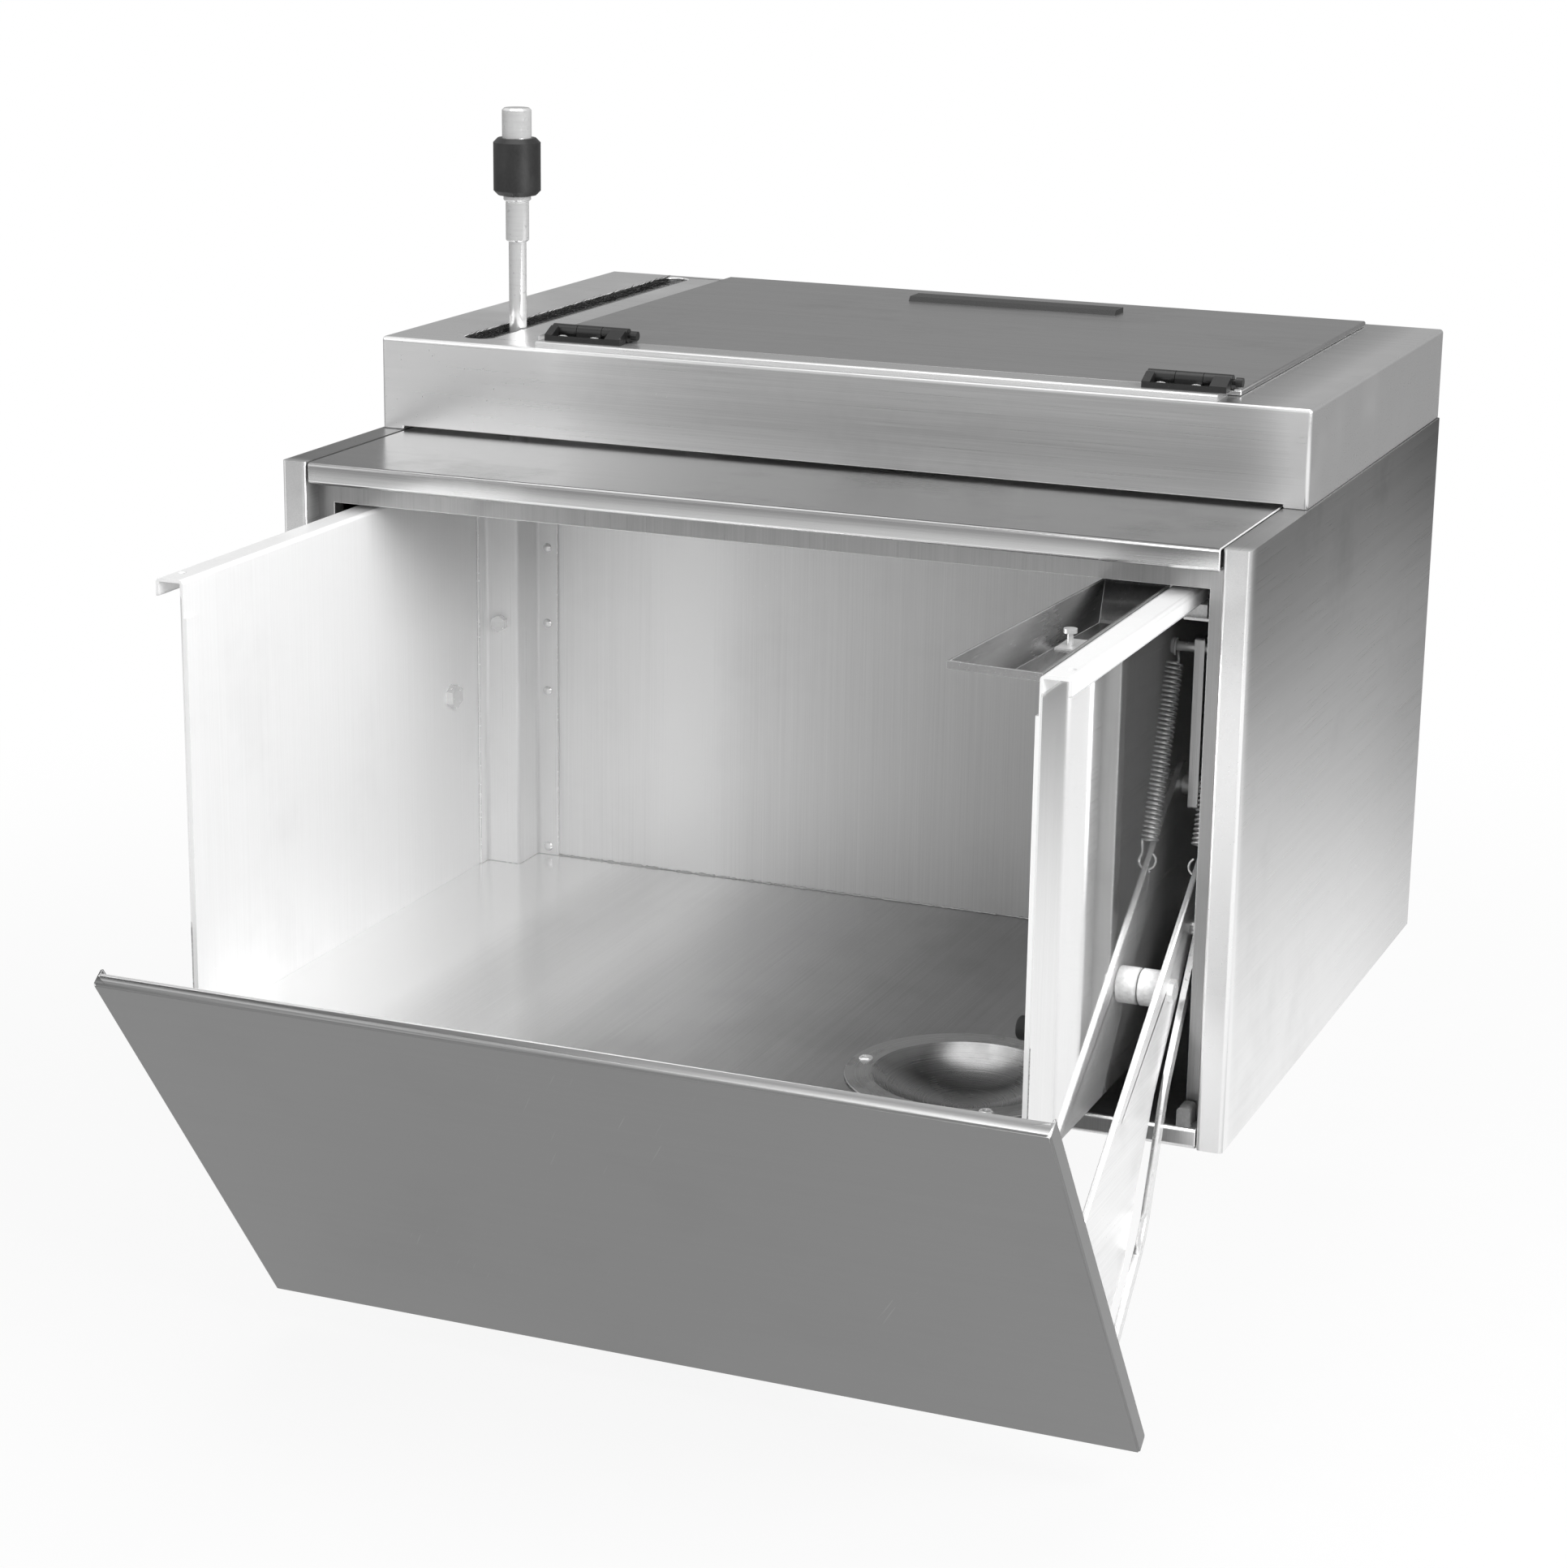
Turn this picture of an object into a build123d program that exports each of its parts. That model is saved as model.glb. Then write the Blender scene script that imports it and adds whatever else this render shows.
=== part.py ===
from build123d import *
import math
import os

# Bank teller deposit drawer: a housing that is let into a counter, a drawer that slides
# out of it on two channels, and a front door that tips forward as the drawer comes out.
# Millimetres. X to the right, Y from the customer to the teller, Z up. The sizes below
# are taken from the housing's front plane. The solids are written with the origin in the
# middle of the housing's base, in the pose with the drawer out and the lid shut.

os.makedirs("parts", exist_ok=True)

# ---- general -------------------------------------------------------------------------
gauge = 1.5              # sheet of the housing, the drawer and the liner
bend = 2.0               # outer radius of a sheet's bend
slip = 0.3               # gap beside a piece that moves
play = 0.05              # radial clearance of a pin in a turning piece
seat = 0.02              # radial clearance of a pin in a fixed piece

# ---- housing -------------------------------------------------------------------------
housing_width = 508.0
housing_depth = 396.0
side_height = 295.0
front_flange = 13.3      # width of the side panel's front flange, and depth of its lip
rear_flange = 14.0
pan_strip = 10.5         # height of the base's front strip
ledge_gap = 1.4          # seam between the ledge and a side panel
fascia = 11.3            # height of the ledge's front
ledge_lip = 12.0
ledge_tuck = 14.6        # how far the ledge runs under the cover
base_hole = 3.25         # radius of the base's screw holes
base_hole_span = (400.0, 300.0)

frame_margin = (22.5, 22.3)      # from the housing's sides and top to the opening
frame_lip = 10.0

cover_front = 105.4
cover_height = 49.3
cover_inset = 1.0        # the cover's side inside the housing's side
cover_shadow = 1.8       # gap under the cover's front
lid_opening_margin = (99.0, 57.0)    # from the housing's left and right sides
lid_opening_y = (131.0, 372.0)

slot_margin = (40.0, 57.0)       # of its two edges, from the housing's left side
slot_y = (120.0, 388.0)
brush_backing = 1.0
brush_height = 4.6
bristle_width = 0.36
bristle_rows = 2
bristles_in_row = 160
felt_thickness = 0.75

# ---- slide channels ------------------------------------------------------------------
channel_y = (25.0, 388.0)
channel_depth = 16.2     # its underside below the drawer's top
channel_gap = 5.0        # between the channel's legs and the drawer's side
wear_gap = (6.0, 16.0)   # of the strip's edges, from the drawer's side
wear_margin = 2.0        # the strip stops short of the channel's ends

# ---- lid -----------------------------------------------------------------------------
lid_margin = (83.0, 42.3)        # from the housing's left and right sides
lid_rear = 384.0
lid_height = 3.2         # top of the lid above the cover
strip_margin = (91.0, 49.0)      # from the housing's left and right sides
strip_front = 107.0
strip_rear = 126.0
seam = 0.6
hinge_y = 124.0
hinge_rise = 4.0         # hinge axis above the lid's top
knuckle = 3.6            # radius
hinge_pin = 1.5          # radius
leaf_height = 2.8
leaf_front = 112.0
leaf_rear = 135.0
hinge_length = 43.0
hinge_margin = (94.0, 89.0)      # of each hinge's left end, from the side nearest to it
leaf_screw = (2.6, 1.0)          # radius and height of the head
leaf_screw_shares = (0.2, 0.62)  # along the hinge
leaf_pocket = (1.4, 1.0)         # lip in front of the pocket, and its depth
leaf_cheeks = (4.3, 8.6)         # widths of the raised ends
cheek_rise = (0.4, 4.2)          # above the leaf, at the front and at the rear
pin_stub = 5.2
pin_head = 2.4
pull_x = (-41.0, 81.0)
pull_y = (338.0, 354.0)
pull_height = 2.6

# ---- drawer --------------------------------------------------------------------------
drawer_gap = 43.0        # between the drawer's side and the housing's
door_clear = 21.5        # between the shut door and the drawer's front edges
drawer_inner_back = 160.8
drawer_foot = 43.5
floor_top = 50.5
drawer_drop = 24.6       # its top below the housing's
front_round = 4.0        # of the side's lower front corner
floor_lip_rise = 3.5     # foot of the floor's front lip above the sides' foot
rim_reach = 13.0         # the rim stands this far out from the drawer's side
rim_lip = 8.4
hem = 3.0                # thickness of the folded front edge
hem_depth = 9.0
hem_gap = 3.0            # between the fold and the side tray
back_rim = 11.0
lever_bay = 70.0         # the back wall has no rim so far from the housing's left side
rim_hole = 2.0
rim_hole_front = 15.5
rim_hole_share = 0.6     # of the way across the rim

post_box = (21.0, 24.8)  # the corner post's width and depth
post_flange = (8.0, 12.5)
post_bend = 1.8
rivet_heights = (55.3, 145.1, 183.3, 225.7)
rivet_head = (2.6, 1.3)
post_bolt_z = 187.0
bolt_head = (4.6, 4.0)

cup_from = (59.0, 90.4)          # its centre from the right wall and the drawer's front
cup_flange = 57.0
cup_rim = 44.4
cup_depth = 16.2
cup_gauge = 1.2
cup_screw_circle = 50.0
cup_screw = (3.4, 1.5)   # radius and height of the head
cup_screw_angles = (60.0, 180.0, 300.0)

bumper = (5.5, 9.5)      # radius and length
bumper_place = (14.9, 107.0)     # behind the drawer's front, and height

tray_reach = (44.5, 33.1)        # of the mouth's front and rear corners, from the wall
tray_front = (7.4, 3.4)          # of its front corners, behind the drawer's front
tray_rear = (24.0, 25.0)         # y of its rear corners
tray_floor_reach = (33.2, 26.8)
tray_floor_front = 61.4
tray_floor_rear = -3.0
tray_depth = 14.9
tray_gauge = 1.2
tray_lip = 3.6
clip_y = (-64.0, -43.0)
clip_reach = (27.9, 1.7)         # of its edges, from the wall
clip_gauge = 0.8
stud_from = (23.5, -54.6)        # from the wall, and y
stud = (1.5, 3.2, 7.5)   # shank radius, head radius, height
stud_head = 2.0

lever_margin = 51.0      # from the housing's left side
lever = 4.75             # radius of the rod
lever_foot = 130.0
lever_chamfer = 0.8
saddle_heights = (150.0, 225.0)
saddle = (22.0, 20.0)    # width and height
saddle_wall = 3.0        # behind the rod, and how far the saddle stands off its middle
sleeve = (6.25, 46.4, 71.1)      # radius, and foot and top above the cover
collar = (7.4, 3.0)
grip = (12.7, 30.3, 2.4) # radius, length, chamfer
tip = (7.9, 15.8, 1.2)

# ---- door and its linkage ------------------------------------------------------------
pivot_y = 96.8
pivot_z = 153.6
door_tilt = 36.14        # degrees from shut to fully tipped
door_margin = 17.7       # from the housing's side
door_drop = 24.0         # the door is so much lower than the housing
door_foot = 10.9         # above the base, with the door shut
door_depth = 10.0
door_gauge = 1.2
door_top_return = 5.6
door_reach = 294.8       # from the pivot to the door's front face, door shut
travel = 187.4           # the drawer's travel

arm_gap = (11.0, 14.0)   # of its faces, from the drawer's side
arm_end = 11.5           # radius round the pivot
arm_outline = ((5.0, 142.1), (-69.0, 125.0), (-111.0, 107.0), (-146.0, 89.4))
foot_gauge = 2.5
foot_width = 11.0
foot_screw_heights = (104.0, 150.0)
foot_screw = (4.0, 2.4)

bar_gap = (15.5, 18.5)   # of its faces, from the drawer's side
bar_line = ((14.0, 143.0), (-62.0, 118.8), (-122.0, 82.5))
bar_end = (2.0, 72.5)    # behind the liner, and height
bar_depth = 6.0
bar_bend = 58.0
bar_boss = 4.0
bar_foot = (12.0, 2.0)   # height above and below the bar's end

pivot_bolt = 4.0         # radius
pivot_head = (6.5, 4.0)
pivot_spacer = 5.5
pivot_nut = (6.5, 3.6)

roller = 9.0             # radius
roller_place = (-26.7, 152.1)    # y and z with the door shut
roller_screw = 3.0
roller_head = (4.0, 1.4)
roller_nut = (5.5, 3.0)

guide_gap = (19.4, 26.0) # of its faces, from the drawer's side
guide_y = (1.0, 12.0)
guide_height = 9.5

# ---- springs -------------------------------------------------------------------------
spring_gap = 12.5        # from the drawer's side
coil_radius = 3.9        # to the middle of the wire
spring_wire = 0.6        # radius
curls = 38               # in each of the two springs
hook_radius = 4.2
hook_lead = (10.0, 7.0)  # from a hook's centre to the first curl, at the foot and the top
hook_hole = 1.5
hook_hole_place = (34.5, 162.2)
peg = 2.5                # radius
peg_from = (79.3, 42.4)  # y, and depth below the drawer's top
peg_cap = (4.0, 1.5)
hook_seat = 0.15         # gap between a hook and its peg
hole_seat = 0.45         # gap between a hook and the edge of its hole
bar_bracket_y = (74.5, 83.5)
bar_bracket_z = (147.0, 36.4)    # foot, and depth of its top below the drawer's top
bar_bracket_gauge = 2.5

# ---- worked out from the sizes above ---------------------------------------------------
half = housing_width / 2
inside = half - gauge
cover_top = side_height + cover_height
lid_top = cover_top + lid_height
frame_opening = (housing_width - 2 * frame_margin[0], side_height - frame_margin[1])
lid_opening_x = (lid_opening_margin[0] - half, half - lid_opening_margin[1])
slot_x = (slot_margin[0] - half, slot_margin[1] - half)
lid_x = (lid_margin[0] - half, half - lid_margin[1])
strip_x = (strip_margin[0] - half, half - strip_margin[1])
hinge_x = (hinge_margin[0] - half, half - hinge_margin[1])
hinge_z = lid_top + hinge_rise

drawer_half = half - drawer_gap
wall_inner = drawer_half - gauge
drawer_top = side_height - drawer_drop
drawer_outer_back = drawer_inner_back + gauge
door_front = pivot_y - door_reach
door_back = door_front + door_depth
liner_front = door_front + door_top_return
liner_back = liner_front + gauge
drawer_front = liner_back + door_clear
door_half_width = half - door_margin
door_height = side_height - door_drop

channel_foot = drawer_top - channel_depth
channel_reach = drawer_half + channel_gap
wear_strip = (drawer_half + wear_gap[0], drawer_half + wear_gap[1])
cup_centre = (wall_inner - cup_from[0], drawer_front + cup_from[1])
lever_x = lever_margin - half
lever_y = drawer_outer_back + lever + slip
grip_foot = cover_top + sleeve[2]
tray_floor_z = drawer_top - tray_depth
tray_top = (
    (wall_inner - tray_reach[0], drawer_front + tray_front[0]),
    (wall_inner, drawer_front + tray_front[1]),
    (wall_inner, tray_rear[0]),
    (wall_inner - tray_reach[1], tray_rear[1]),
)
tray_floor = (
    (wall_inner - tray_floor_reach[0], drawer_front + tray_floor_front),
    (wall_inner, drawer_front + tray_floor_front),
    (wall_inner, tray_floor_rear),
    (wall_inner - tray_floor_reach[1], tray_floor_rear),
)
clip_x = (wall_inner - clip_reach[0], wall_inner - clip_reach[1])
stud_place = (wall_inner - stud_from[0], stud_from[1])

arm_x = (drawer_half + arm_gap[0], drawer_half + arm_gap[1])
bar_x = (drawer_half + bar_gap[0], drawer_half + bar_gap[1])
bar_outline = (*bar_line, (liner_back + bar_end[0], bar_end[1]))
guide_x = (drawer_half + guide_gap[0], drawer_half + guide_gap[1])
spring_x = drawer_half + spring_gap
peg_place = (peg_from[0], drawer_top - peg_from[1])


# ---- shapes ----------------------------------------------------------------------------
def block(x, y, z):
    """A rectangular solid between the low and high values given for each axis."""
    size = [high - low for low, high in (x, y, z)]
    middle = [(high + low) / 2 for low, high in (x, y, z)]
    return Pos(*middle) * Box(*size)


def rod_x(radius, x, y, z):
    """A round bar along X."""
    return Pos((x[0] + x[1]) / 2, y, z) * Rot(0, 90, 0) * Cylinder(radius, x[1] - x[0])


def rod_z(radius, x, y, z):
    """A round bar along Z."""
    return Pos(x, y, (z[0] + z[1]) / 2) * Cylinder(radius, z[1] - z[0])


def hexagon_x(radius, x, y, z):
    """A six-sided bar along X."""
    face = Plane(origin=(x[0], y, z), z_dir=(1, 0, 0)) * RegularPolygon(radius, 6)
    return extrude(face, x[1] - x[0], dir=(1, 0, 0))


def side_plate(points, x):
    """A flat plate with its outline given in Y and Z, between two values of X."""
    face = make_face(Polyline(*points, close=True))
    return extrude(Plane.YZ.offset(x[0]) * face, x[1] - x[0], dir=(1, 0, 0))


def folded(points, plane, length, wall=gauge, radius=bend, inward=Side.RIGHT):
    """A folded sheet: its outer face follows the points, and its wall is on one side."""
    outer = FilletPolyline(*points, radius=radius)
    band = make_face(offset(outer, wall, side=inward))
    return extrude(plane * band, length, dir=plane.z_dir)


def mirrored(shape):
    """The same piece on the other side of the drawer."""
    return mirror(shape, about=Plane.YZ)


def tipped(shape):
    """A piece of the door turned from shut to the pose in which it is written."""
    axis = Axis((0, pivot_y, pivot_z), (1, 0, 0))
    return shape.rotate(axis, door_tilt)


def tipped_point(y, z):
    """A point of the door, given with the door shut, in the pose that is written."""
    turn = math.radians(door_tilt)
    dy = y - pivot_y
    dz = z - pivot_z
    return (
        pivot_y + dy * math.cos(turn) - dz * math.sin(turn),
        pivot_z + dy * math.sin(turn) + dz * math.cos(turn),
    )


def write(name, *solids):
    """Write one piece, or a group of like pieces, with the origin under the housing."""
    shapes = [Pos(0, -housing_depth / 2, 0) * solid for solid in solids]
    single = shapes[0] if len(shapes) == 1 else Compound(children=shapes)
    export_step(single, f"parts/{name}.step")


def write_pair(name, shape):
    """Write the right-hand piece and its mirror image as two nodes."""
    write(f"{name}_right", shape)
    write(f"{name}_left", mirrored(shape))


# ---- housing ---------------------------------------------------------------------------
def side_panel():
    """Side wall with a front flange and lip, a top flange and a rear flange."""
    inner = half - front_flange
    path = (
        (inner, front_flange), (inner, 0), (half, 0),
        (half, housing_depth), (half - rear_flange, housing_depth),
    )
    panel = folded(path, Plane.XY, side_height, inward=Side.LEFT)
    top = block(
        (inner, inside), (gauge, housing_depth - gauge), (side_height - gauge, side_height)
    )
    return panel + top


def base_pan():
    """Base with its front strip and the holes that screw it to the counter."""
    strip_half = half - front_flange - slip
    floor_half = inside
    path = (
        (front_flange - gauge, pan_strip), (0, pan_strip), (0, 0),
        (housing_depth - 2 * gauge, 0),
    )
    pan = folded(path, Plane.YZ.offset(-strip_half), 2 * strip_half, inward=Side.LEFT)
    floor = block(
        (-floor_half, floor_half), (front_flange + slip, housing_depth - 2 * gauge), (0, gauge)
    )
    holes = [
        rod_z(base_hole, sx * base_hole_span[0] / 2,
              housing_depth / 2 + sy * base_hole_span[1] / 2, (-gauge, 2 * gauge))
        for sx in (-1, 1) for sy in (-1, 1)
    ]
    return pan + floor - holes


def back_panel():
    """Closing sheet inside the side panels' rear flanges."""
    rear = housing_depth - gauge
    reach = inside - (bend - gauge)
    return block((-reach, reach), (rear - gauge, rear), (gauge, side_height - gauge))


def front_ledge():
    """Shelf in front of the cover, folded down at the front and under."""
    half_width = half - front_flange - ledge_gap
    foot = side_height - fascia
    path = (
        (ledge_lip, foot), (0, foot), (0, side_height), (cover_front + ledge_tuck, side_height)
    )
    return folded(path, Plane.YZ.offset(-half_width), 2 * half_width)


def inner_frame():
    """Upright frame behind the front flanges, round the drawer's opening."""
    width, top = frame_opening
    face = front_flange
    reach = inside - slip
    plate = block((-reach, reach), (face, face + gauge), (gauge, side_height - gauge))
    plate -= block((-width / 2, width / 2), (face - 1, face + gauge + 1), (0, top))
    lips = [
        block((side * (width + gauge) / 2 - gauge / 2, side * (width + gauge) / 2 + gauge / 2),
              (face + gauge, face + frame_lip), (gauge, top))
        for side in (-1, 1)
    ]
    wide = width / 2 + gauge
    head = block((-wide, wide), (face + gauge, face + frame_lip), (top, top + gauge))
    return plate + lips + head


def top_cover():
    """Raised box over the drawer's way in, with the lid's opening and the lever's slot."""
    reach = half - cover_inset
    outer = block((-reach, reach), (cover_front, housing_depth), (side_height, cover_top))
    outer = fillet(outer.edges().filter_by(Axis.Z), bend)
    outer = fillet(outer.faces().sort_by(Axis.Z)[-1].edges(), bend)
    hollow = block(
        (-reach + gauge, reach - gauge), (cover_front + gauge, housing_depth - gauge),
        (side_height - 1, cover_top - gauge)
    )
    ledge_half = half - front_flange
    shadow = block(
        (-ledge_half, ledge_half), (cover_front - 1, cover_front + gauge + 1),
        (side_height - 1, side_height + cover_shadow)
    )
    opening = block(lid_opening_x, lid_opening_y, (cover_top - 2 * gauge, cover_top + 1))
    return outer - hollow - shadow - opening - slot_shape(0, (cover_top - 2 * gauge, cover_top + 1))


def slot_shape(inset, z):
    """The slot's round-ended outline, drawn in by an inset, between two heights."""
    width = slot_x[1] - slot_x[0] - 2 * inset
    length = slot_y[1] - slot_y[0] - 2 * inset
    middle = ((slot_x[0] + slot_x[1]) / 2, (slot_y[0] + slot_y[1]) / 2)
    outline = Pos(*middle, z[0]) * Rot(0, 0, 90) * SlotOverall(length, width)
    return extrude(outline, z[1] - z[0], dir=(0, 0, 1))


def slot_brush():
    """Brush along the slot's outer edge; its bristles stop just short of the lever."""
    top = cover_top - 0.1
    margin = (slot_x[1] - slot_x[0]) / 2
    ends = (slot_y[0] + margin, slot_y[1] - margin)
    backing = block((slot_x[0], slot_x[0] + brush_backing), ends, (top - brush_height, top))
    root = slot_x[0] + brush_backing - bristle_width
    tip_x = lever_x - lever - slip
    pitch = (ends[1] - ends[0] - 2 * bristle_width) / bristles_in_row
    strands = []
    for row in range(bristle_rows):
        z = top - bristle_width * (1.5 + 2.5 * row)
        for index in range(bristles_in_row):
            y = ends[0] + bristle_width + pitch * (index + 0.5 * row + 0.25)
            strands.append(block(
                (root, tip_x), (y - bristle_width / 2, y + bristle_width / 2),
                (z - bristle_width / 2, z + bristle_width / 2)
            ))
    return backing + strands


def slot_felt():
    """Thin felt strip along the slot's inner edge."""
    top = cover_top - 0.1
    margin = (slot_x[1] - slot_x[0]) / 2
    return block(
        (slot_x[1] - felt_thickness, slot_x[1]), (slot_y[0] + margin, slot_y[1] - margin),
        (top - brush_height, top)
    )


def slide_channel():
    """Channel on the housing's side that carries and holds down the drawer's rim."""
    head = drawer_top + slip + gauge + slip
    path = (
        (channel_reach, channel_foot), (inside, channel_foot), (inside, head),
        (channel_reach, head)
    )
    plane = Plane.XZ.offset(-channel_y[1])
    return folded(path, plane, channel_y[1] - channel_y[0], inward=Side.LEFT)


def wear_strip_solid():
    """Nylon strip in the channel, under the rim's lip."""
    ends = (channel_y[0] + wear_margin, channel_y[1] - wear_margin)
    return block(wear_strip, ends, (channel_foot + gauge, drawer_top - rim_lip - slip))


def guide_block():
    """Small block on the base's front strip, beside the cam bar."""
    shape = block(guide_x, guide_y, (pan_strip, pan_strip + guide_height))
    return fillet(shape.edges().filter_by(Axis.Y).group_by(Axis.Z)[-1], 2.0)


# ---- lid -------------------------------------------------------------------------------
def hinge_strip():
    """Fixed strip in front of the lid, which carries the hinges' front leaves."""
    outer = block(strip_x, (strip_front, strip_rear), (cover_top, lid_top))
    outer = fillet(outer.faces().sort_by(Axis.Y)[0].edges().group_by(Axis.Z)[-1], 1.0)
    hollow = block(
        (strip_x[0] + gauge, strip_x[1] - gauge), (strip_front + gauge, strip_rear + 1),
        (cover_top - 1, lid_top - gauge)
    )
    return outer - hollow


def lid_panel():
    """Shallow pan that covers the opening, turned down on all four sides."""
    front = strip_rear + seam
    foot = cover_top + slip
    outer = block(lid_x, (front, lid_rear), (foot, lid_top))
    outer = fillet(outer.faces().sort_by(Axis.Z)[-1].edges(), 1.0)
    hollow = block(
        (lid_x[0] + gauge, lid_x[1] - gauge), (front + gauge, lid_rear - gauge),
        (foot - 1, lid_top - gauge)
    )
    return outer - hollow


def lid_pull():
    """Low finger pull near the lid's rear edge."""
    path = (
        (pull_y[0], lid_top), (pull_y[0] + 2, lid_top + pull_height),
        (pull_y[1], lid_top + pull_height), (pull_y[1], lid_top)
    )
    return side_plate(path, pull_x)


def hinge_leaf(start, moving):
    """One leaf of a hinge: the front leaf has the middle knuckle, the rear leaf the others."""
    third = hinge_length / 3
    clear = knuckle + slip
    top = lid_top + leaf_height
    if moving:
        flat = (hinge_y + clear, leaf_rear)
        web = (hinge_y, hinge_y + clear)
        spans = ((0, third - slip / 2), (2 * third + slip / 2, hinge_length))
    else:
        flat = (leaf_front, hinge_y - clear)
        web = (hinge_y - clear, hinge_y)
        spans = ((third + slip / 2, 2 * third - slip / 2),)
    leaf = block((start, start + hinge_length), flat, (lid_top, top))
    if not moving:
        left, right = start + leaf_cheeks[0], start + hinge_length - leaf_cheeks[1]
        pocket = (leaf_front + leaf_pocket[0], hinge_y - clear + 1)
        leaf -= block((left, right), pocket, (top - leaf_pocket[1], top + 1))
        slope = (
            (leaf_front, lid_top), (leaf_front, top + cheek_rise[0]),
            (flat[1], top + cheek_rise[1]), (flat[1], lid_top)
        )
        leaf += side_plate(slope, (start, left))
        leaf += side_plate(slope, (right, start + hinge_length))
    for span in spans:
        x = (start + span[0], start + span[1])
        leaf += block(x, web, (hinge_z - knuckle, hinge_z))
        leaf += rod_x(knuckle, x, hinge_y, hinge_z)
        leaf -= rod_x(hinge_pin + play, (x[0] - slip, x[1] + slip), hinge_y, hinge_z)
    return leaf


def hinge_pin_solid(start):
    """Hinge pin with its headed stub at the right-hand end."""
    end = start + hinge_length
    pin = rod_x(hinge_pin, (start, end + pin_stub), hinge_y, hinge_z)
    return pin + rod_x(pin_head, (end + pin_stub / 3, end + pin_stub), hinge_y, hinge_z)


def hinge_screws(start, y, depth):
    """Two low screw heads on a hinge leaf, this deep below its top."""
    top = lid_top + leaf_height - depth
    radius, height = leaf_screw
    places = [start + hinge_length * share for share in leaf_screw_shares]
    return [rod_z(radius, x, y, (top, top + height)) for x in places]


# ---- drawer ----------------------------------------------------------------------------
def drawer_side():
    """Side wall with the rim that hangs in the channel and a folded front edge."""
    outer = drawer_half + rim_reach
    path = (
        (wall_inner, drawer_foot), (wall_inner, drawer_top), (outer, drawer_top),
        (outer, drawer_top - rim_lip)
    )
    plane = Plane.XZ.offset(-drawer_outer_back)
    wall = folded(path, plane, drawer_outer_back - drawer_front)
    fold = block(
        (drawer_half - hem, wall_inner), (drawer_front, drawer_front + hem_depth),
        (floor_top, drawer_top - tray_depth - hem_gap)
    )
    wall += fold
    wall -= rod_z(rim_hole, drawer_half + rim_reach * rim_hole_share,
                  drawer_front + rim_hole_front, (drawer_top - 2 * gauge, drawer_top + gauge))
    through = (wall_inner - gauge, drawer_half + gauge)
    corner = block(
        through, (drawer_front - gauge, drawer_front + front_round),
        (drawer_foot - gauge, drawer_foot + front_round)
    )
    corner -= rod_x(front_round, through, drawer_front + front_round, drawer_foot + front_round)
    return wall - corner - rod_x(pivot_bolt + seat, through, pivot_y, pivot_z)


def drawer_floor():
    """Floor with a turned-down front edge and the hole for the coin cup."""
    path = (
        (drawer_front, drawer_foot + floor_lip_rise), (drawer_front, floor_top),
        (drawer_inner_back, floor_top)
    )
    floor = folded(path, Plane.YZ.offset(-wall_inner), 2 * wall_inner)
    hole = rod_z(cup_rim + cup_gauge + 0.6, *cup_centre, (drawer_foot - 1, floor_top + 1))
    return floor - hole


def drawer_back():
    """Back wall; its rim stops short of the lever."""
    wall = block(
        (-wall_inner, wall_inner), (drawer_inner_back, drawer_outer_back),
        (drawer_foot, drawer_top)
    )
    rim = block(
        (lever_bay - half, wall_inner), (drawer_outer_back, drawer_outer_back + back_rim),
        (drawer_top - gauge, drawer_top)
    )
    return wall + rim


def corner_post():
    """Hat-shaped post in the back left corner that stiffens the wall behind the lever."""
    left = -wall_inner
    width, depth = post_box
    front = drawer_inner_back - depth
    right = left + width
    path = (
        (left + gauge, front - post_flange[0]), (left + gauge, front), (right, front),
        (right, drawer_inner_back - gauge), (right + post_flange[1], drawer_inner_back - gauge)
    )
    plane = Plane.XY.offset(floor_top)
    return folded(path, plane, drawer_top - floor_top, radius=post_bend, inward=Side.LEFT)


def post_rivets():
    """Domed rivet heads on the post's back flange."""
    x = -wall_inner + post_box[0] + post_flange[1] / 2
    face = drawer_inner_back - gauge
    radius, height = rivet_head
    ball = (radius ** 2 + height ** 2) / (2 * height)
    rivets = []
    for z in rivet_heights:
        dome = Pos(x, face + ball - height, z) * Sphere(ball)
        keep = block((x - radius, x + radius), (face - height, face), (z - radius, z + radius))
        rivets.append(dome & keep)
    return rivets


def post_bolt():
    """Hexagon head on the front of the corner post."""
    x = -wall_inner + post_box[0] / 2
    front = drawer_inner_back - post_box[1]
    radius, height = bolt_head
    face = Plane(origin=(x, front, post_bolt_z), z_dir=(0, -1, 0)) * RegularPolygon(radius, 6)
    return extrude(face, height, dir=(0, -1, 0))


def coin_cup():
    """Spun dish with a flat flange that lies on the floor."""
    top = floor_top + cup_gauge
    ball = (cup_rim ** 2 + cup_depth ** 2) / (2 * cup_depth)
    centre_z = top - cup_depth + ball
    with BuildPart() as cup:
        with BuildSketch(Plane.XZ) as section:
            with BuildLine():
                inner = ball
                outer = ball + cup_gauge
                mid = cup_rim / 2
                rim = (cup_rim, top)
                bottom = (0, centre_z - inner)
                ThreePointArc(bottom, (mid, centre_z - math.sqrt(inner ** 2 - mid ** 2)), rim)
                Line(rim, (cup_flange - 0.4, top))
                Line((cup_flange - 0.4, top), (cup_flange, top - 0.4))
                Line((cup_flange, top - 0.4), (cup_flange, floor_top))
                knee = (math.sqrt(outer ** 2 - (centre_z - floor_top) ** 2), floor_top)
                Line((cup_flange, floor_top), knee)
                under = (mid, centre_z - math.sqrt(outer ** 2 - mid ** 2))
                ThreePointArc(knee, under, (0, centre_z - outer))
                Line((0, centre_z - outer), bottom)
            make_face()
        revolve(axis=Axis.Z)
    return Pos(*cup_centre, 0) * cup.part


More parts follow.
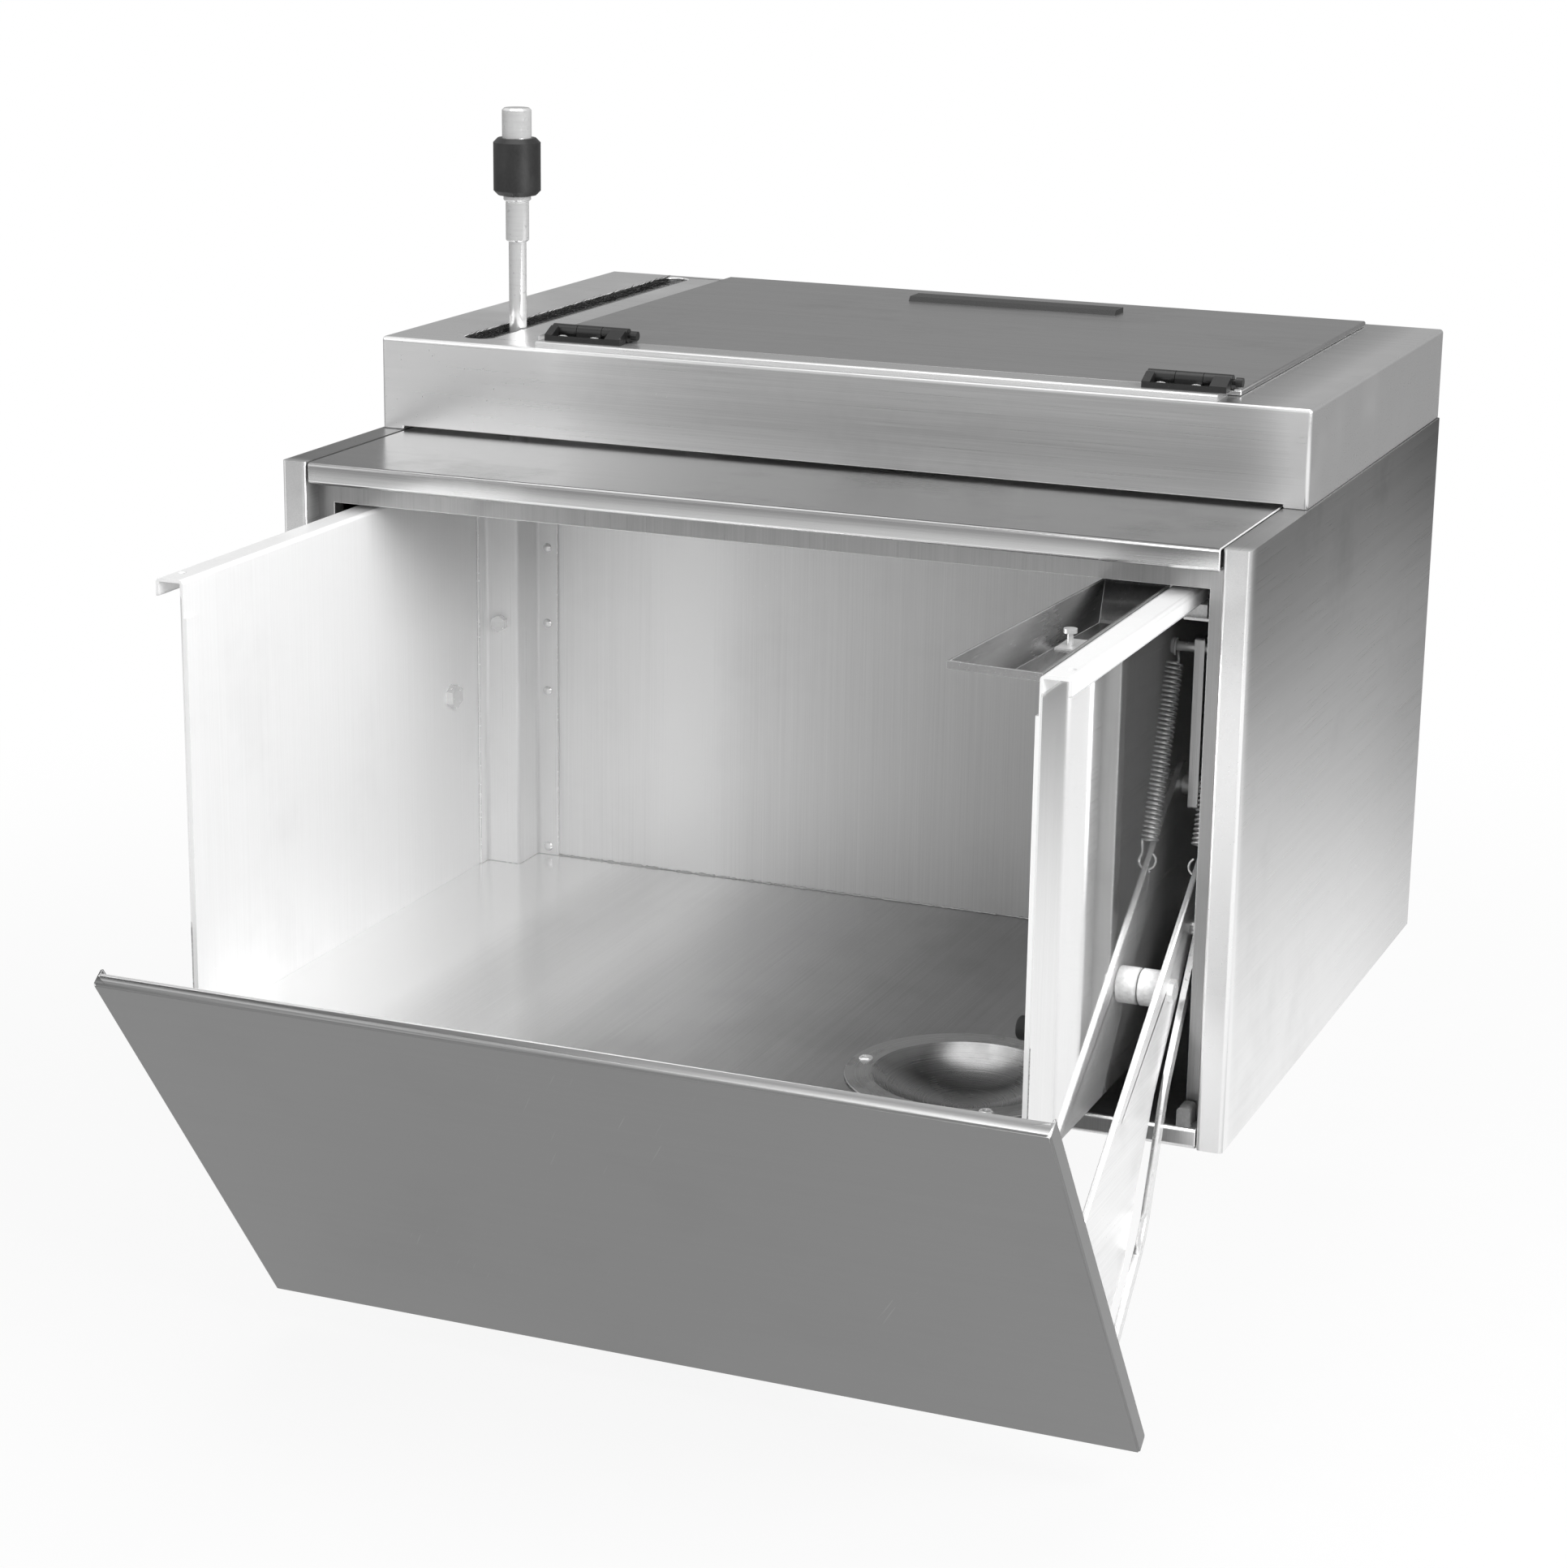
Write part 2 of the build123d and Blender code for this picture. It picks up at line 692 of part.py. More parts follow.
def cup_screws():
    """Low screw heads round the cup's flange."""
    radius, height = cup_screw
    top = floor_top + cup_gauge
    heads = []
    for angle in cup_screw_angles:
        x = cup_centre[0] + cup_screw_circle * math.cos(math.radians(angle))
        y = cup_centre[1] + cup_screw_circle * math.sin(math.radians(angle))
        head = rod_z(radius, x, y, (top, top + height))
        heads.append(fillet(head.edges().group_by(Axis.Z)[-1], height * 0.6))
    return heads


def door_bumper():
    """Rubber bumper on the inside of the right wall."""
    radius, length = bumper
    behind, z = bumper_place
    y = drawer_front + behind
    knob = rod_x(radius, (wall_inner - length, wall_inner), y, z)
    return fillet(knob.edges().group_by(Axis.X)[0], 2.0)


def side_tray():
    """Shallow coin tray along the top of the right wall, with sloping ends."""
    top = make_face(Plane.XY.offset(drawer_top) * Polyline(*tray_top, close=True))
    low = make_face(Plane.XY.offset(tray_floor_z - tray_gauge) * Polyline(*tray_floor, close=True))
    outer = loft([low, top])
    inner_top = offset(top, -tray_gauge)
    inner_low = offset(
        make_face(Plane.XY.offset(tray_floor_z) * Polyline(*tray_floor, close=True)), -tray_gauge
    )
    tray = outer - loft([inner_low, Pos(0, 0, 0.01) * inner_top])
    front = (tray_top[0], tray_top[1])
    lip = make_face(Polyline(
        front[0], front[1], (front[1][0], front[1][1] + tray_gauge),
        (front[0][0], front[0][1] + tray_gauge), close=True
    ))
    lip = extrude(Plane.XY.offset(drawer_top - tray_lip) * lip, tray_lip, dir=(0, 0, 1))
    return tray + lip


def tray_clip():
    """Hold-down plate across the tray's floor."""
    return block(clip_x, clip_y, (tray_floor_z, tray_floor_z + clip_gauge))


def tray_stud():
    """Headed stud on the hold-down plate."""
    shank, head, height = stud
    foot = tray_floor_z + clip_gauge
    top = foot + height
    body = rod_z(shank, *stud_place, (foot, top - stud_head))
    return body + rod_z(head, *stud_place, (top - stud_head, top))


def lever_saddles():
    """Two saddles behind the back wall that hold the lever's rod."""
    width, height = saddle
    pieces = []
    for z in saddle_heights:
        middle = lever_x + saddle_wall
        y = (drawer_outer_back, lever_y + lever + saddle_wall)
        body = block((middle - width / 2, middle + width / 2), y, (z, z + height))
        body = body - rod_z(lever + seat, lever_x, lever_y, (z - 1, z + height + 1))
        pieces.append(body)
    return pieces


def lever_rod():
    """Round rod that stands up through the slot."""
    rod = rod_z(lever, lever_x, lever_y, (lever_foot, grip_foot + grip[1]))
    return chamfer(rod.edges().group_by(Axis.Z)[0], lever_chamfer)


def lever_tube(radius, z, edge=0.0):
    """A tube round the lever's rod, with its outer edges chamfered."""
    body = rod_z(radius, lever_x, lever_y, z)
    if edge:
        body = chamfer(body.edges().filter_by(GeomType.CIRCLE), edge)
    return body - rod_z(lever + seat, lever_x, lever_y, (z[0] - 1, z[1] + 1))


def lever_sleeve():
    """Polished sleeve under the grip, with a collar at its top."""
    radius, foot, top = sleeve[0], cover_top + sleeve[1], grip_foot
    tube = lever_tube(radius, (foot, top - collar[1]), 0.8)
    return tube + lever_tube(collar[0], (top - collar[1], top), 0.6)


def lever_tip():
    """Polished cap on the end of the lever."""
    radius, height, edge = tip
    foot = grip_foot + grip[1]
    cap = rod_z(radius, lever_x, lever_y, (foot, foot + height))
    return chamfer(cap.edges().group_by(Axis.Z)[-1], edge)


# ---- door ------------------------------------------------------------------------------
def door_front_pan():
    """Front sheet turned back on all four sides, least at the top."""
    top = door_foot + door_height
    x = (-door_half_width, door_half_width)
    outer = block(x, (door_front, door_back), (door_foot, top))
    outer = fillet(outer.faces().sort_by(Axis.Y)[0].edges(), 1.5)
    inner = (-door_half_width + door_gauge, door_half_width - door_gauge)
    hollow = block(
        inner, (door_front + door_gauge, door_back + 1), (door_foot + door_gauge, top - door_gauge)
    )
    above = block(inner, (liner_front, door_back + 1), (top - 2 * door_gauge, top + 1))
    return tipped(outer - hollow - above)


def door_liner():
    """Flat sheet that closes the back of the door and carries the arms."""
    reach = door_half_width - door_gauge - seat
    return tipped(block(
        (-reach, reach), (liner_front, liner_back),
        (door_foot + door_gauge + seat, door_foot + door_height)
    ))


def door_arm():
    """Tapered arm from the pivot bolt to the door, with its foot turned inwards."""
    foot_z = arm_outline[-1][1]
    top = pivot_z + arm_end
    outline = (
        (pivot_y, top), (liner_back, top), (liner_back, foot_z), *reversed(arm_outline),
        (pivot_y, pivot_z - arm_end)
    )
    arm = side_plate(outline, arm_x) + rod_x(arm_end, arm_x, pivot_y, pivot_z)
    arm += block(
        (arm_x[0] - foot_width, arm_x[1]), (liner_back, liner_back + foot_gauge), (foot_z, top)
    )
    through = (arm_x[0] - 1, arm_x[1] + 1)
    arm -= rod_x(pivot_bolt + play, through, pivot_y, pivot_z)
    arm -= rod_x(roller_screw + seat, through, *roller_place)
    arm -= rod_x(hook_hole, through, *hook_hole_place)
    return tipped(arm)


def cam_bar():
    """Curved bar beside the arm that steers the door over the base's front strip."""
    plane = Plane.YZ.offset(bar_x[0])
    width = bar_x[1] - bar_x[0]
    bar = folded(bar_outline, plane, width, wall=bar_depth, radius=bar_bend)
    end_y, end_z = bar_outline[0]
    boss = rod_x(bar_boss, (arm_x[1], bar_x[1]), end_y, end_z + bar_depth)
    foot_z = bar_outline[-1][1]
    foot = block(
        bar_x, (liner_back, bar_outline[-1][0] + 1),
        (foot_z - bar_foot[1], foot_z + bar_foot[0])
    )
    return tipped(bar + boss + foot)


def arm_screws():
    """Screw heads that hold the arm's foot to the liner."""
    radius, height = foot_screw
    face = liner_back + foot_gauge
    x = arm_x[0] - foot_width / 2
    screws = []
    for z in foot_screw_heights:
        disc = Plane(origin=(x, face, z), z_dir=(0, 1, 0)) * Circle(radius)
        head = extrude(disc, height, dir=(0, 1, 0))
        head = tipped(head)
        screws += [head, mirrored(head)]
    return screws


def pivot_bolt_solid():
    """Bolt through the drawer's side on which the arm turns, with spacer and nut."""
    bolt = rod_x(pivot_bolt, (wall_inner, arm_x[1] + slip), pivot_y, pivot_z)
    head = hexagon_x(pivot_head[0], (wall_inner - pivot_head[1], wall_inner), pivot_y, pivot_z)
    spacer = rod_x(pivot_spacer, (drawer_half, arm_x[0] - slip), pivot_y, pivot_z)
    nut_start = arm_x[1] + slip
    nut = hexagon_x(pivot_nut[0], (nut_start, nut_start + pivot_nut[1]), pivot_y, pivot_z)
    return bolt + head + spacer + nut


def nylon_roller():
    """White roller between the arm and the drawer's side."""
    y, z = roller_place
    x = (drawer_half + slip, arm_x[0] - slip)
    body = rod_x(roller, x, y, z)
    body = chamfer(body.edges().filter_by(GeomType.CIRCLE), 0.6)
    body -= rod_x(roller_screw + play, (x[0] - 1, x[1] + 1), y, z)
    pocket = (x[0] - 1, x[0] + 2 * slip + roller_head[1] + slip)
    return tipped(body - rod_x(roller_head[0] + slip, pocket, y, z))


def roller_screw_solid():
    """Shoulder screw that carries the roller, with its nut outside the arm."""
    y, z = roller_place
    start = drawer_half + 2 * slip
    screw = rod_x(roller_head[0], (start, start + roller_head[1]), y, z)
    screw += rod_x(roller_screw, (start, arm_x[1] + roller_nut[1]), y, z)
    nut = hexagon_x(roller_nut[0], (arm_x[1], arm_x[1] + roller_nut[1]), y, z)
    return tipped(screw + nut)


# ---- springs ---------------------------------------------------------------------------
def spring_bracket():
    """Upright bar on the drawer's side that carries the spring's peg."""
    x = (drawer_half, drawer_half + bar_bracket_gauge)
    bar = block(x, bar_bracket_y, (bar_bracket_z[0], drawer_top - bar_bracket_z[1]))
    return fillet(bar.edges().filter_by(Axis.X), 2.0)


def spring_peg():
    """Capped peg on the bracket, over which the spring's top hook goes."""
    start = drawer_half + bar_bracket_gauge
    end = spring_x + spring_wire + slip
    pin = rod_x(peg, (start, end + peg_cap[1]), *peg_place)
    return pin + rod_x(peg_cap[0], (end, end + peg_cap[1]), *peg_place)


def biarc(start, out, end, into):
    """Two arcs that leave the start and reach the end in the given directions."""
    span = end - start
    both = out + into
    a = 2 * (1 - out.dot(into))
    b = span.dot(both)
    reach = (-b + math.sqrt(b * b + a * span.dot(span))) / a if a > 1e-9 else span.dot(span) / (2 * b)
    left = start + out * reach
    right = end - into * reach
    joint = (left + right) / 2
    return [
        Edge.make_tangent_arc(start, out, joint),
        Edge.make_tangent_arc(joint, (right - left).normalized(), end),
    ]


def spring_nodes():
    """Points and directions along the right-hand spring's wire, from foot to top."""
    hole = Vector(spring_x, *tipped_point(*hook_hole_place))
    pin = Vector(spring_x, *peg_place)
    along = (pin - hole).normalized()
    low = hole + along * (hook_radius + hook_hole - spring_wire - hole_seat)
    high = pin - along * (hook_radius - spring_wire - peg - hook_seat)
    across = Vector(1, 0, 0)
    side = along.cross(across)
    nodes = []
    for step in range(7):
        turn = math.radians(330 - 45 * step)
        at = low + along * (hook_radius * math.cos(turn)) + across * (hook_radius * math.sin(turn))
        heading = along * math.sin(turn) - across * math.cos(turn)
        nodes.append((at, heading))
    first = hook_lead[0]
    length = (high - low).length - first - hook_lead[1]
    turns = curls + 0.25
    for step in range(2 * curls + 1):
        nodes.append(curl(low + along * first, along, across, side, step / 2, length, turns))
    nodes.append(curl(low + along * first, along, across, side, turns, length, turns))
    for step in range(7):
        turn = math.radians(60 + 45 * step)
        at = high - along * (hook_radius * math.cos(turn)) + side * (hook_radius * math.sin(turn))
        heading = along * math.sin(turn) + side * math.cos(turn)
        nodes.append((at, heading))
    return nodes


def curl(foot, along, across, side, turned, length, turns):
    """Point and direction on the coil after some turns."""
    angle = 2 * math.pi * turned
    round_part = across * math.cos(angle) + side * math.sin(angle)
    at = foot + round_part * coil_radius + along * (length * turned / turns)
    heading = side * math.cos(angle) - across * math.sin(angle)
    rise = length / turns / (2 * math.pi * coil_radius)
    return at, (heading + along * rise).normalized()


def least_gap(points, skip):
    """Least distance between the wire's surface and itself, left out next to a point."""
    least = 1e9
    for index, first in enumerate(points):
        for second in points[index + skip:]:
            least = min(least, (first - second).length)
    return least - 2 * spring_wire


def door_spring():
    """Extension spring from the bracket's peg to the arm, as one unbroken wire."""
    nodes = spring_nodes()
    edges = []
    for (start, out), (end, into) in zip(nodes[:-1], nodes[1:]):
        edges += biarc(start, out, end, into)
    path = Wire(edges)
    start, out = nodes[0]
    section = Plane(origin=start, z_dir=out) * Circle(spring_wire)
    points = [edge.position_at(share / 3) for edge in edges for share in range(3)]
    print(f"spring: {curls} curls, least gap {least_gap(points, 8):.2f} mm")
    print(f"spring: {path.length:.1f} mm of wire")
    return sweep(section, path=path)


# ---- write every piece -----------------------------------------------------------------
def write_housing():
    """The fixed pieces."""
    write_pair("side_panel", side_panel())
    write("base_pan", base_pan())
    write("back_panel", back_panel())
    write("front_ledge", front_ledge())
    write("inner_frame", inner_frame())
    write("top_cover", top_cover())
    write("slot_brush", slot_brush())
    write("slot_felt", slot_felt())
    write_pair("slide_channel", slide_channel())
    write_pair("wear_strip", wear_strip_solid())
    write_pair("guide_block", guide_block())
    write("hinge_strip", hinge_strip())
    write("hinge_front_leaves", *[hinge_leaf(start, False) for start in hinge_x])
    write("hinge_pins", *[hinge_pin_solid(start) for start in hinge_x])
    front_row = (leaf_front + hinge_y - knuckle) / 2
    screws = [s for start in hinge_x for s in hinge_screws(start, front_row, leaf_pocket[1])]
    write("hinge_front_screws", *screws)


def write_lid():
    """The pieces that lift with the lid."""
    write("lid_panel", lid_panel())
    write("lid_pull", lid_pull())
    write("hinge_rear_leaves", *[hinge_leaf(start, True) for start in hinge_x])
    rear_row = (leaf_rear + hinge_y + knuckle) / 2
    screws = [s for start in hinge_x for s in hinge_screws(start, rear_row, 0.0)]
    write("hinge_rear_screws", *screws)


def write_drawer():
    """The pieces that slide with the drawer."""
    write_pair("drawer_side", drawer_side())
    write("drawer_floor", drawer_floor())
    write("drawer_back", drawer_back())
    write("corner_post", corner_post())
    write("post_rivets", *post_rivets())
    write("post_bolt", post_bolt())
    write("coin_cup", coin_cup())
    write("coin_cup_screws", *cup_screws())
    write("door_bumper", door_bumper())
    write("side_tray", side_tray())
    write("tray_clip", tray_clip())
    write("tray_stud", tray_stud())
    write("lever_saddles", *lever_saddles())
    write("lever_rod", lever_rod())
    write("lever_sleeve", lever_sleeve())
    write("lever_grip", lever_tube(grip[0], (grip_foot, grip_foot + grip[1]), grip[2]))
    write("lever_tip", lever_tip())
    write_pair("pivot_bolt", pivot_bolt_solid())
    write_pair("spring_bracket", spring_bracket())
    write_pair("spring_peg", spring_peg())
    write_pair("door_spring", door_spring())


def write_door():
    """The pieces that tip with the door."""
    write("door_front", door_front_pan())
    write("door_liner", door_liner())
    write_pair("door_arm", door_arm())
    write_pair("cam_bar", cam_bar())
    write("arm_screws", *arm_screws())
    write_pair("door_roller", nylon_roller())
    write_pair("roller_screw", roller_screw_solid())


write_housing()
write_lid()
write_drawer()
write_door()
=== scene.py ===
import logging
import math
from dataclasses import dataclass, field
from enum import Enum

import bmesh
import bpy
from mathutils import Matrix, Vector


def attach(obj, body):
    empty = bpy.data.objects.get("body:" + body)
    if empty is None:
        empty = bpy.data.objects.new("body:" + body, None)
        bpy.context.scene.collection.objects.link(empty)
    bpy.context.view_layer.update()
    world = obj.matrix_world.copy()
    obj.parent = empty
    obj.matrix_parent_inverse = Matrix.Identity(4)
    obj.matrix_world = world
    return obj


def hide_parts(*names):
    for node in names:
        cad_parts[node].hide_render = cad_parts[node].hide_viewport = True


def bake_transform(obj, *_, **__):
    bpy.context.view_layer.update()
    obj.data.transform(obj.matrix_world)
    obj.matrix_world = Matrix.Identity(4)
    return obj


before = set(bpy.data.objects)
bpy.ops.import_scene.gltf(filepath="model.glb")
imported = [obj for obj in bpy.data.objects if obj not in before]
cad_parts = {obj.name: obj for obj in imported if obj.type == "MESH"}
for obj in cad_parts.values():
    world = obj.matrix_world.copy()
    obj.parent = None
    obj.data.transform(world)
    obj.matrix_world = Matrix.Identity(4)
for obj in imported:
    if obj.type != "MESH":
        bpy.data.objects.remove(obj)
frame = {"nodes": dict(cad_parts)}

# Looks for the bank teller deposit drawer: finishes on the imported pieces, the wire
# springs, the slot's bristles, the screw heads, the weld line, and the studio.
# Sizes in the classes are millimetres from the housing's front plane, as in the part.

MM = 0.001
FRONT_PLANE = -0.198
LIGHTEST = 0.97
MERGE = 0.00001
SHARP = math.radians(40)
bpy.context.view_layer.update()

logging.basicConfig(level=logging.INFO, format="%(message)s")
log = logging.getLogger("deposit_drawer")

Point = tuple[float, float, float]


def place(x: float, y: float, z: float) -> Vector:
    """Turn a place on the drawer into the row frame.

    Args:
        x: Millimetres to the right of the middle.
        y: Millimetres behind the housing's front plane.
        z: Millimetres above the base.

    Returns:
        The point in metres.
    """
    return Vector((x * MM, y * MM + FRONT_PLANE, z * MM))


# ---- node trees ------------------------------------------------------------------------
class Signal:
    """A node's socket that takes part in Python arithmetic."""

    def __init__(self, group: "NodeGroup", socket: bpy.types.NodeSocket) -> None:
        """Keep the group that the socket belongs to."""
        self.group = group
        self.socket = socket

    def math(self, operation: str, *others: "Signal | float") -> "Signal":
        """Add a Math node.

        Args:
            operation: The node's operation.
            others: Its further inputs.

        Returns:
            The node's result.
        """
        inputs = dict(enumerate((self, *others)))
        return self.group.node("ShaderNodeMath", {"operation": operation}, inputs)

    def __add__(self, other: "Signal | float") -> "Signal":
        """Sum."""
        return self.math("ADD", other)

    def __sub__(self, other: "Signal | float") -> "Signal":
        """Difference."""
        return self.math("SUBTRACT", other)

    def __rsub__(self, other: float) -> "Signal":
        """Difference from a number."""
        return self.group.node("ShaderNodeMath", {"operation": "SUBTRACT"}, {0: other, 1: self})

    def __mul__(self, other: "Signal | float") -> "Signal":
        """Product."""
        return self.math("MULTIPLY", other)

    def __truediv__(self, other: "Signal | float") -> "Signal":
        """Quotient."""
        return self.math("DIVIDE", other)

    __radd__ = __add__
    __rmul__ = __mul__

    def above(self, low: float, high: float) -> "Signal":
        """Rise smoothly from 0 at the low value to 1 at the high one."""
        return self.group.node(
            "ShaderNodeMapRange", {"interpolation_type": "SMOOTHSTEP", "clamp": True},
            {"Value": self, "From Min": low, "From Max": high}
        )

    def stretched(self, by: Point) -> "Signal":
        """Multiply a vector by a number along each axis."""
        return self.group.node(
            "ShaderNodeVectorMath", {"operation": "MULTIPLY"}, {0: self, 1: by}
        )


class NodeGroup:
    """A node tree with one method that adds nodes."""

    def __init__(self, tree: bpy.types.NodeTree) -> None:
        """Keep the tree."""
        self.tree = tree

    @staticmethod
    def pick(sockets: bpy.types.bpy_prop_collection, key: str | int) -> bpy.types.NodeSocket:
        """Find a socket by its index, identifier or name."""
        if isinstance(key, int):
            return sockets[key]
        named = [s for s in sockets if s.identifier == key]
        return named[0] if named else sockets[key]

    def node(
        self, kind: str, settings: dict | None = None, values: dict | None = None,
        output: str | int = 0
    ) -> Signal | None:
        """Add any node.

        Args:
            kind: The node's type.
            settings: Its settings.
            values: Numbers or signals for its sockets.
            output: The socket to hand back.

        Returns:
            The output's signal, or None for a node without outputs.
        """
        made = self.tree.nodes.new(kind)
        for name, value in (settings or {}).items():
            setattr(made, name, value)
        for key, value in (values or {}).items():
            socket = self.pick(made.inputs, key)
            if isinstance(value, Signal):
                self.tree.links.new(value.socket, socket)
            else:
                socket.default_value = value
        return Signal(self, self.pick(made.outputs, output)) if len(made.outputs) else None

    def ray(self, kind: str) -> Signal:
        """1 for rays of one kind, such as Camera or Glossy, and 0 for all others."""
        return self.node("ShaderNodeLightPath", output=f"Is {kind} Ray")


class Surface(NodeGroup):
    """The node tree of one material."""

    def __init__(self, name: str) -> None:
        """Start an empty material."""
        self.material = bpy.data.materials.new(name)
        self.material.use_nodes = True
        super().__init__(self.material.node_tree)
        self.tree.nodes.clear()
        self.coords = self.node("ShaderNodeTexCoord", output="Object")

    def axis(self, index: int) -> Signal:
        """One object coordinate, in metres."""
        return self.node("ShaderNodeSeparateXYZ", None, {0: self.coords}, index)

    def noise(self, stretch: Point, detail: float = 2.0, rough: float = 0.55) -> Signal:
        """Noise with its own number of waves per metre along each axis."""
        return self.node(
            "ShaderNodeTexNoise", {"noise_dimensions": "3D"},
            {"Vector": self.coords.stretched(stretch), "Scale": 1.0, "Detail": detail,
             "Roughness": rough}, "Fac"
        )

    def blend(self, share: Signal, low: float, high: float) -> Signal:
        """Mix two greys by a share."""
        return self.node(
            "ShaderNodeMix", {"data_type": "RGBA", "clamp_factor": True},
            {"Factor_Float": share, "A_Color": (low, low, low, 1.0),
             "B_Color": (high, high, high, 1.0)}, "Result_Color"
        )

    def grey(self, level: Signal) -> Signal:
        """A grey of the given level, never quite white."""
        return self.blend(level.math("MINIMUM", LIGHTEST), 0.0, 1.0)

    def finish(
        self, colour: Signal, rough: Signal, height: Signal | None = None,
        depth: float = 0.0, **constants: float
    ) -> bpy.types.Material:
        """Close the material with a Principled shader.

        Args:
            colour: Base colour.
            rough: Roughness.
            height: Relief, from 0 to 1.
            depth: Height of the relief in metres.
            constants: Values for further sockets, with underscores for spaces.

        Returns:
            The material.
        """
        values = {"Base Color": colour, "Roughness": rough}
        values.update({name.replace("_", " "): value for name, value in constants.items()})
        if height is not None:
            values["Normal"] = self.node(
                "ShaderNodeBump", None, {"Strength": 1.0, "Distance": depth, "Height": height}
            )
        shader = self.node("ShaderNodeBsdfPrincipled", None, values)
        self.node("ShaderNodeOutputMaterial", None, {"Surface": shader})
        return self.material


# ---- finishes --------------------------------------------------------------------------
@dataclass(frozen=True)
class Finish:
    """A material with a name and a tone, built when it is first asked for."""

    name: str
    tone: float

    def material(self) -> bpy.types.Material:
        """Build the material once and hand it out after that."""
        made = bpy.data.materials.get(self.name)
        return made if made else self.build(Surface(self.name))

    def build(self, surface: Surface) -> bpy.types.Material:
        """Fill the surface's tree and close it."""
        raise NotImplementedError

    def colour(self, surface: Surface, level: Signal) -> Signal:
        """The finish's tone, varied by a level that leaves it alone at 0.5."""
        return surface.grey(level * (2.0 * self.tone))


class Grain(Enum):
    """Direction in which a sheet is brushed."""

    ALONG_X = 0
    ALONG_Y = 1
    ALONG_Z = 2


@dataclass(frozen=True)
class PaintedLightBand:
    """A soft lighter or darker stripe across a sheet: painted light where its gain is above 0,
    painted shade where it is below 0.
    """

    axis: int
    middle: float
    width: float
    gain: float

    def shown(self, surface: Surface) -> Signal:
        """The stripe's gain at each place, strongest in its middle."""
        where = [0.0, 0.0, 0.0]
        where[self.axis] = self.middle
        off = (surface.axis(self.axis) - place(*where)[self.axis]) / (self.width * MM)
        return (off * off * -1.0).math("EXPONENT") * self.gain


@dataclass(frozen=True)
class BrushedSteel(Finish):
    """Stainless sheet with a brushed grain, smudges, fine scratches, and stripes of painted
    light and shade where it has them.
    """

    FINE = (9.0, 1500.0)       # waves per metre along the grain and across it
    BROAD = (2.2, 210.0)
    SMUDGE = 11.0
    SCRATCH = (9.0, 900.0, 900.0)
    SCRATCH_TURN = (0.5, 0.7, 0.9)
    RELIEF = 0.000012
    POLISHED_METAL = 0.93
    POLISHED_EDGE = 0.3        # half the width of the polished face's soft edge
    POLISHED_FADE = 4.0

    roughness: float = 0.3
    grain: Grain = Grain.ALONG_X
    contrast: float = 0.16
    broad: float = 0.5
    smudges: float = 0.08
    scratches: float = 0.3
    painted_light_bands: tuple[PaintedLightBand, ...] = ()
    metallic: float = 1.0
    polished_beyond: float = 0.0
    polished_below: float = 260.0

    def streaks(self, surface: Surface, along: float, across: float) -> Signal:
        """Noise drawn out along the grain, in waves per metre."""
        stretch = [across] * 3
        stretch[self.grain.value] = along
        return surface.noise(tuple(stretch), 3.0, 0.6)

    def scratch_mask(self, surface: Surface) -> Signal:
        """Sparse thin lines that run across the grain at a slant."""
        turned = surface.node(
            "ShaderNodeVectorRotate", {"rotation_type": "EULER_XYZ"},
            {"Vector": surface.coords, "Rotation": self.SCRATCH_TURN}
        )
        lines = surface.node(
            "ShaderNodeTexNoise", None,
            {"Vector": turned.stretched(self.SCRATCH), "Scale": 1.0, "Detail": 1.0}, "Fac"
        )
        return lines.above(0.74, 0.80) * surface.noise((9.0, 9.0, 9.0)).above(0.52, 0.66)

    def polished(self, surface: Surface) -> Signal:
        """1 on the mirror-like outer faces below the rim, and 0 elsewhere."""
        beyond, below = self.polished_beyond, self.polished_below
        outside = surface.axis(0).math("ABSOLUTE").above(
            (beyond - self.POLISHED_EDGE) * MM, (beyond + self.POLISHED_EDGE) * MM
        )
        fade = surface.axis(2).above(below * MM, (below + self.POLISHED_FADE) * MM)
        return outside * (1.0 - fade)

    def build(self, surface: Surface) -> bpy.types.Material:
        """Mix the grain, the smudges, the scratches and the stripes of painted light and shade.
        """
        fine = self.streaks(surface, *self.FINE)
        broad = self.streaks(surface, *self.BROAD)
        smudge = surface.noise((self.SMUDGE,) * 3, 4.0, 0.62).above(0.50, 0.72)
        scratch = self.scratch_mask(surface) * self.scratches
        level = (fine - 0.5) * self.contrast + (broad - 0.5) * (self.contrast * self.broad)
        level = level - smudge * self.smudges + scratch * 0.5 + 0.5
        # stripes of painted light and shade added to the colour
        for painted_band in self.painted_light_bands:
            level = level + painted_band.shown(surface)
        rough = (fine - 0.5) * 0.16 + smudge * self.smudges - scratch * 0.15 + self.roughness
        metal: Signal | float = self.metallic
        if self.polished_beyond:
            mirror = self.polished(surface)
            rough = rough * (1.0 - mirror * 0.88)
            metal = mirror * (self.POLISHED_METAL - self.metallic) + self.metallic
            fine = fine * (1.0 - mirror * 0.8)
        height = fine * 0.7 + broad * 0.3 - scratch * 0.6
        colour = self.colour(surface, level)
        return surface.finish(colour, rough, height, self.RELIEF, Metallic=metal)


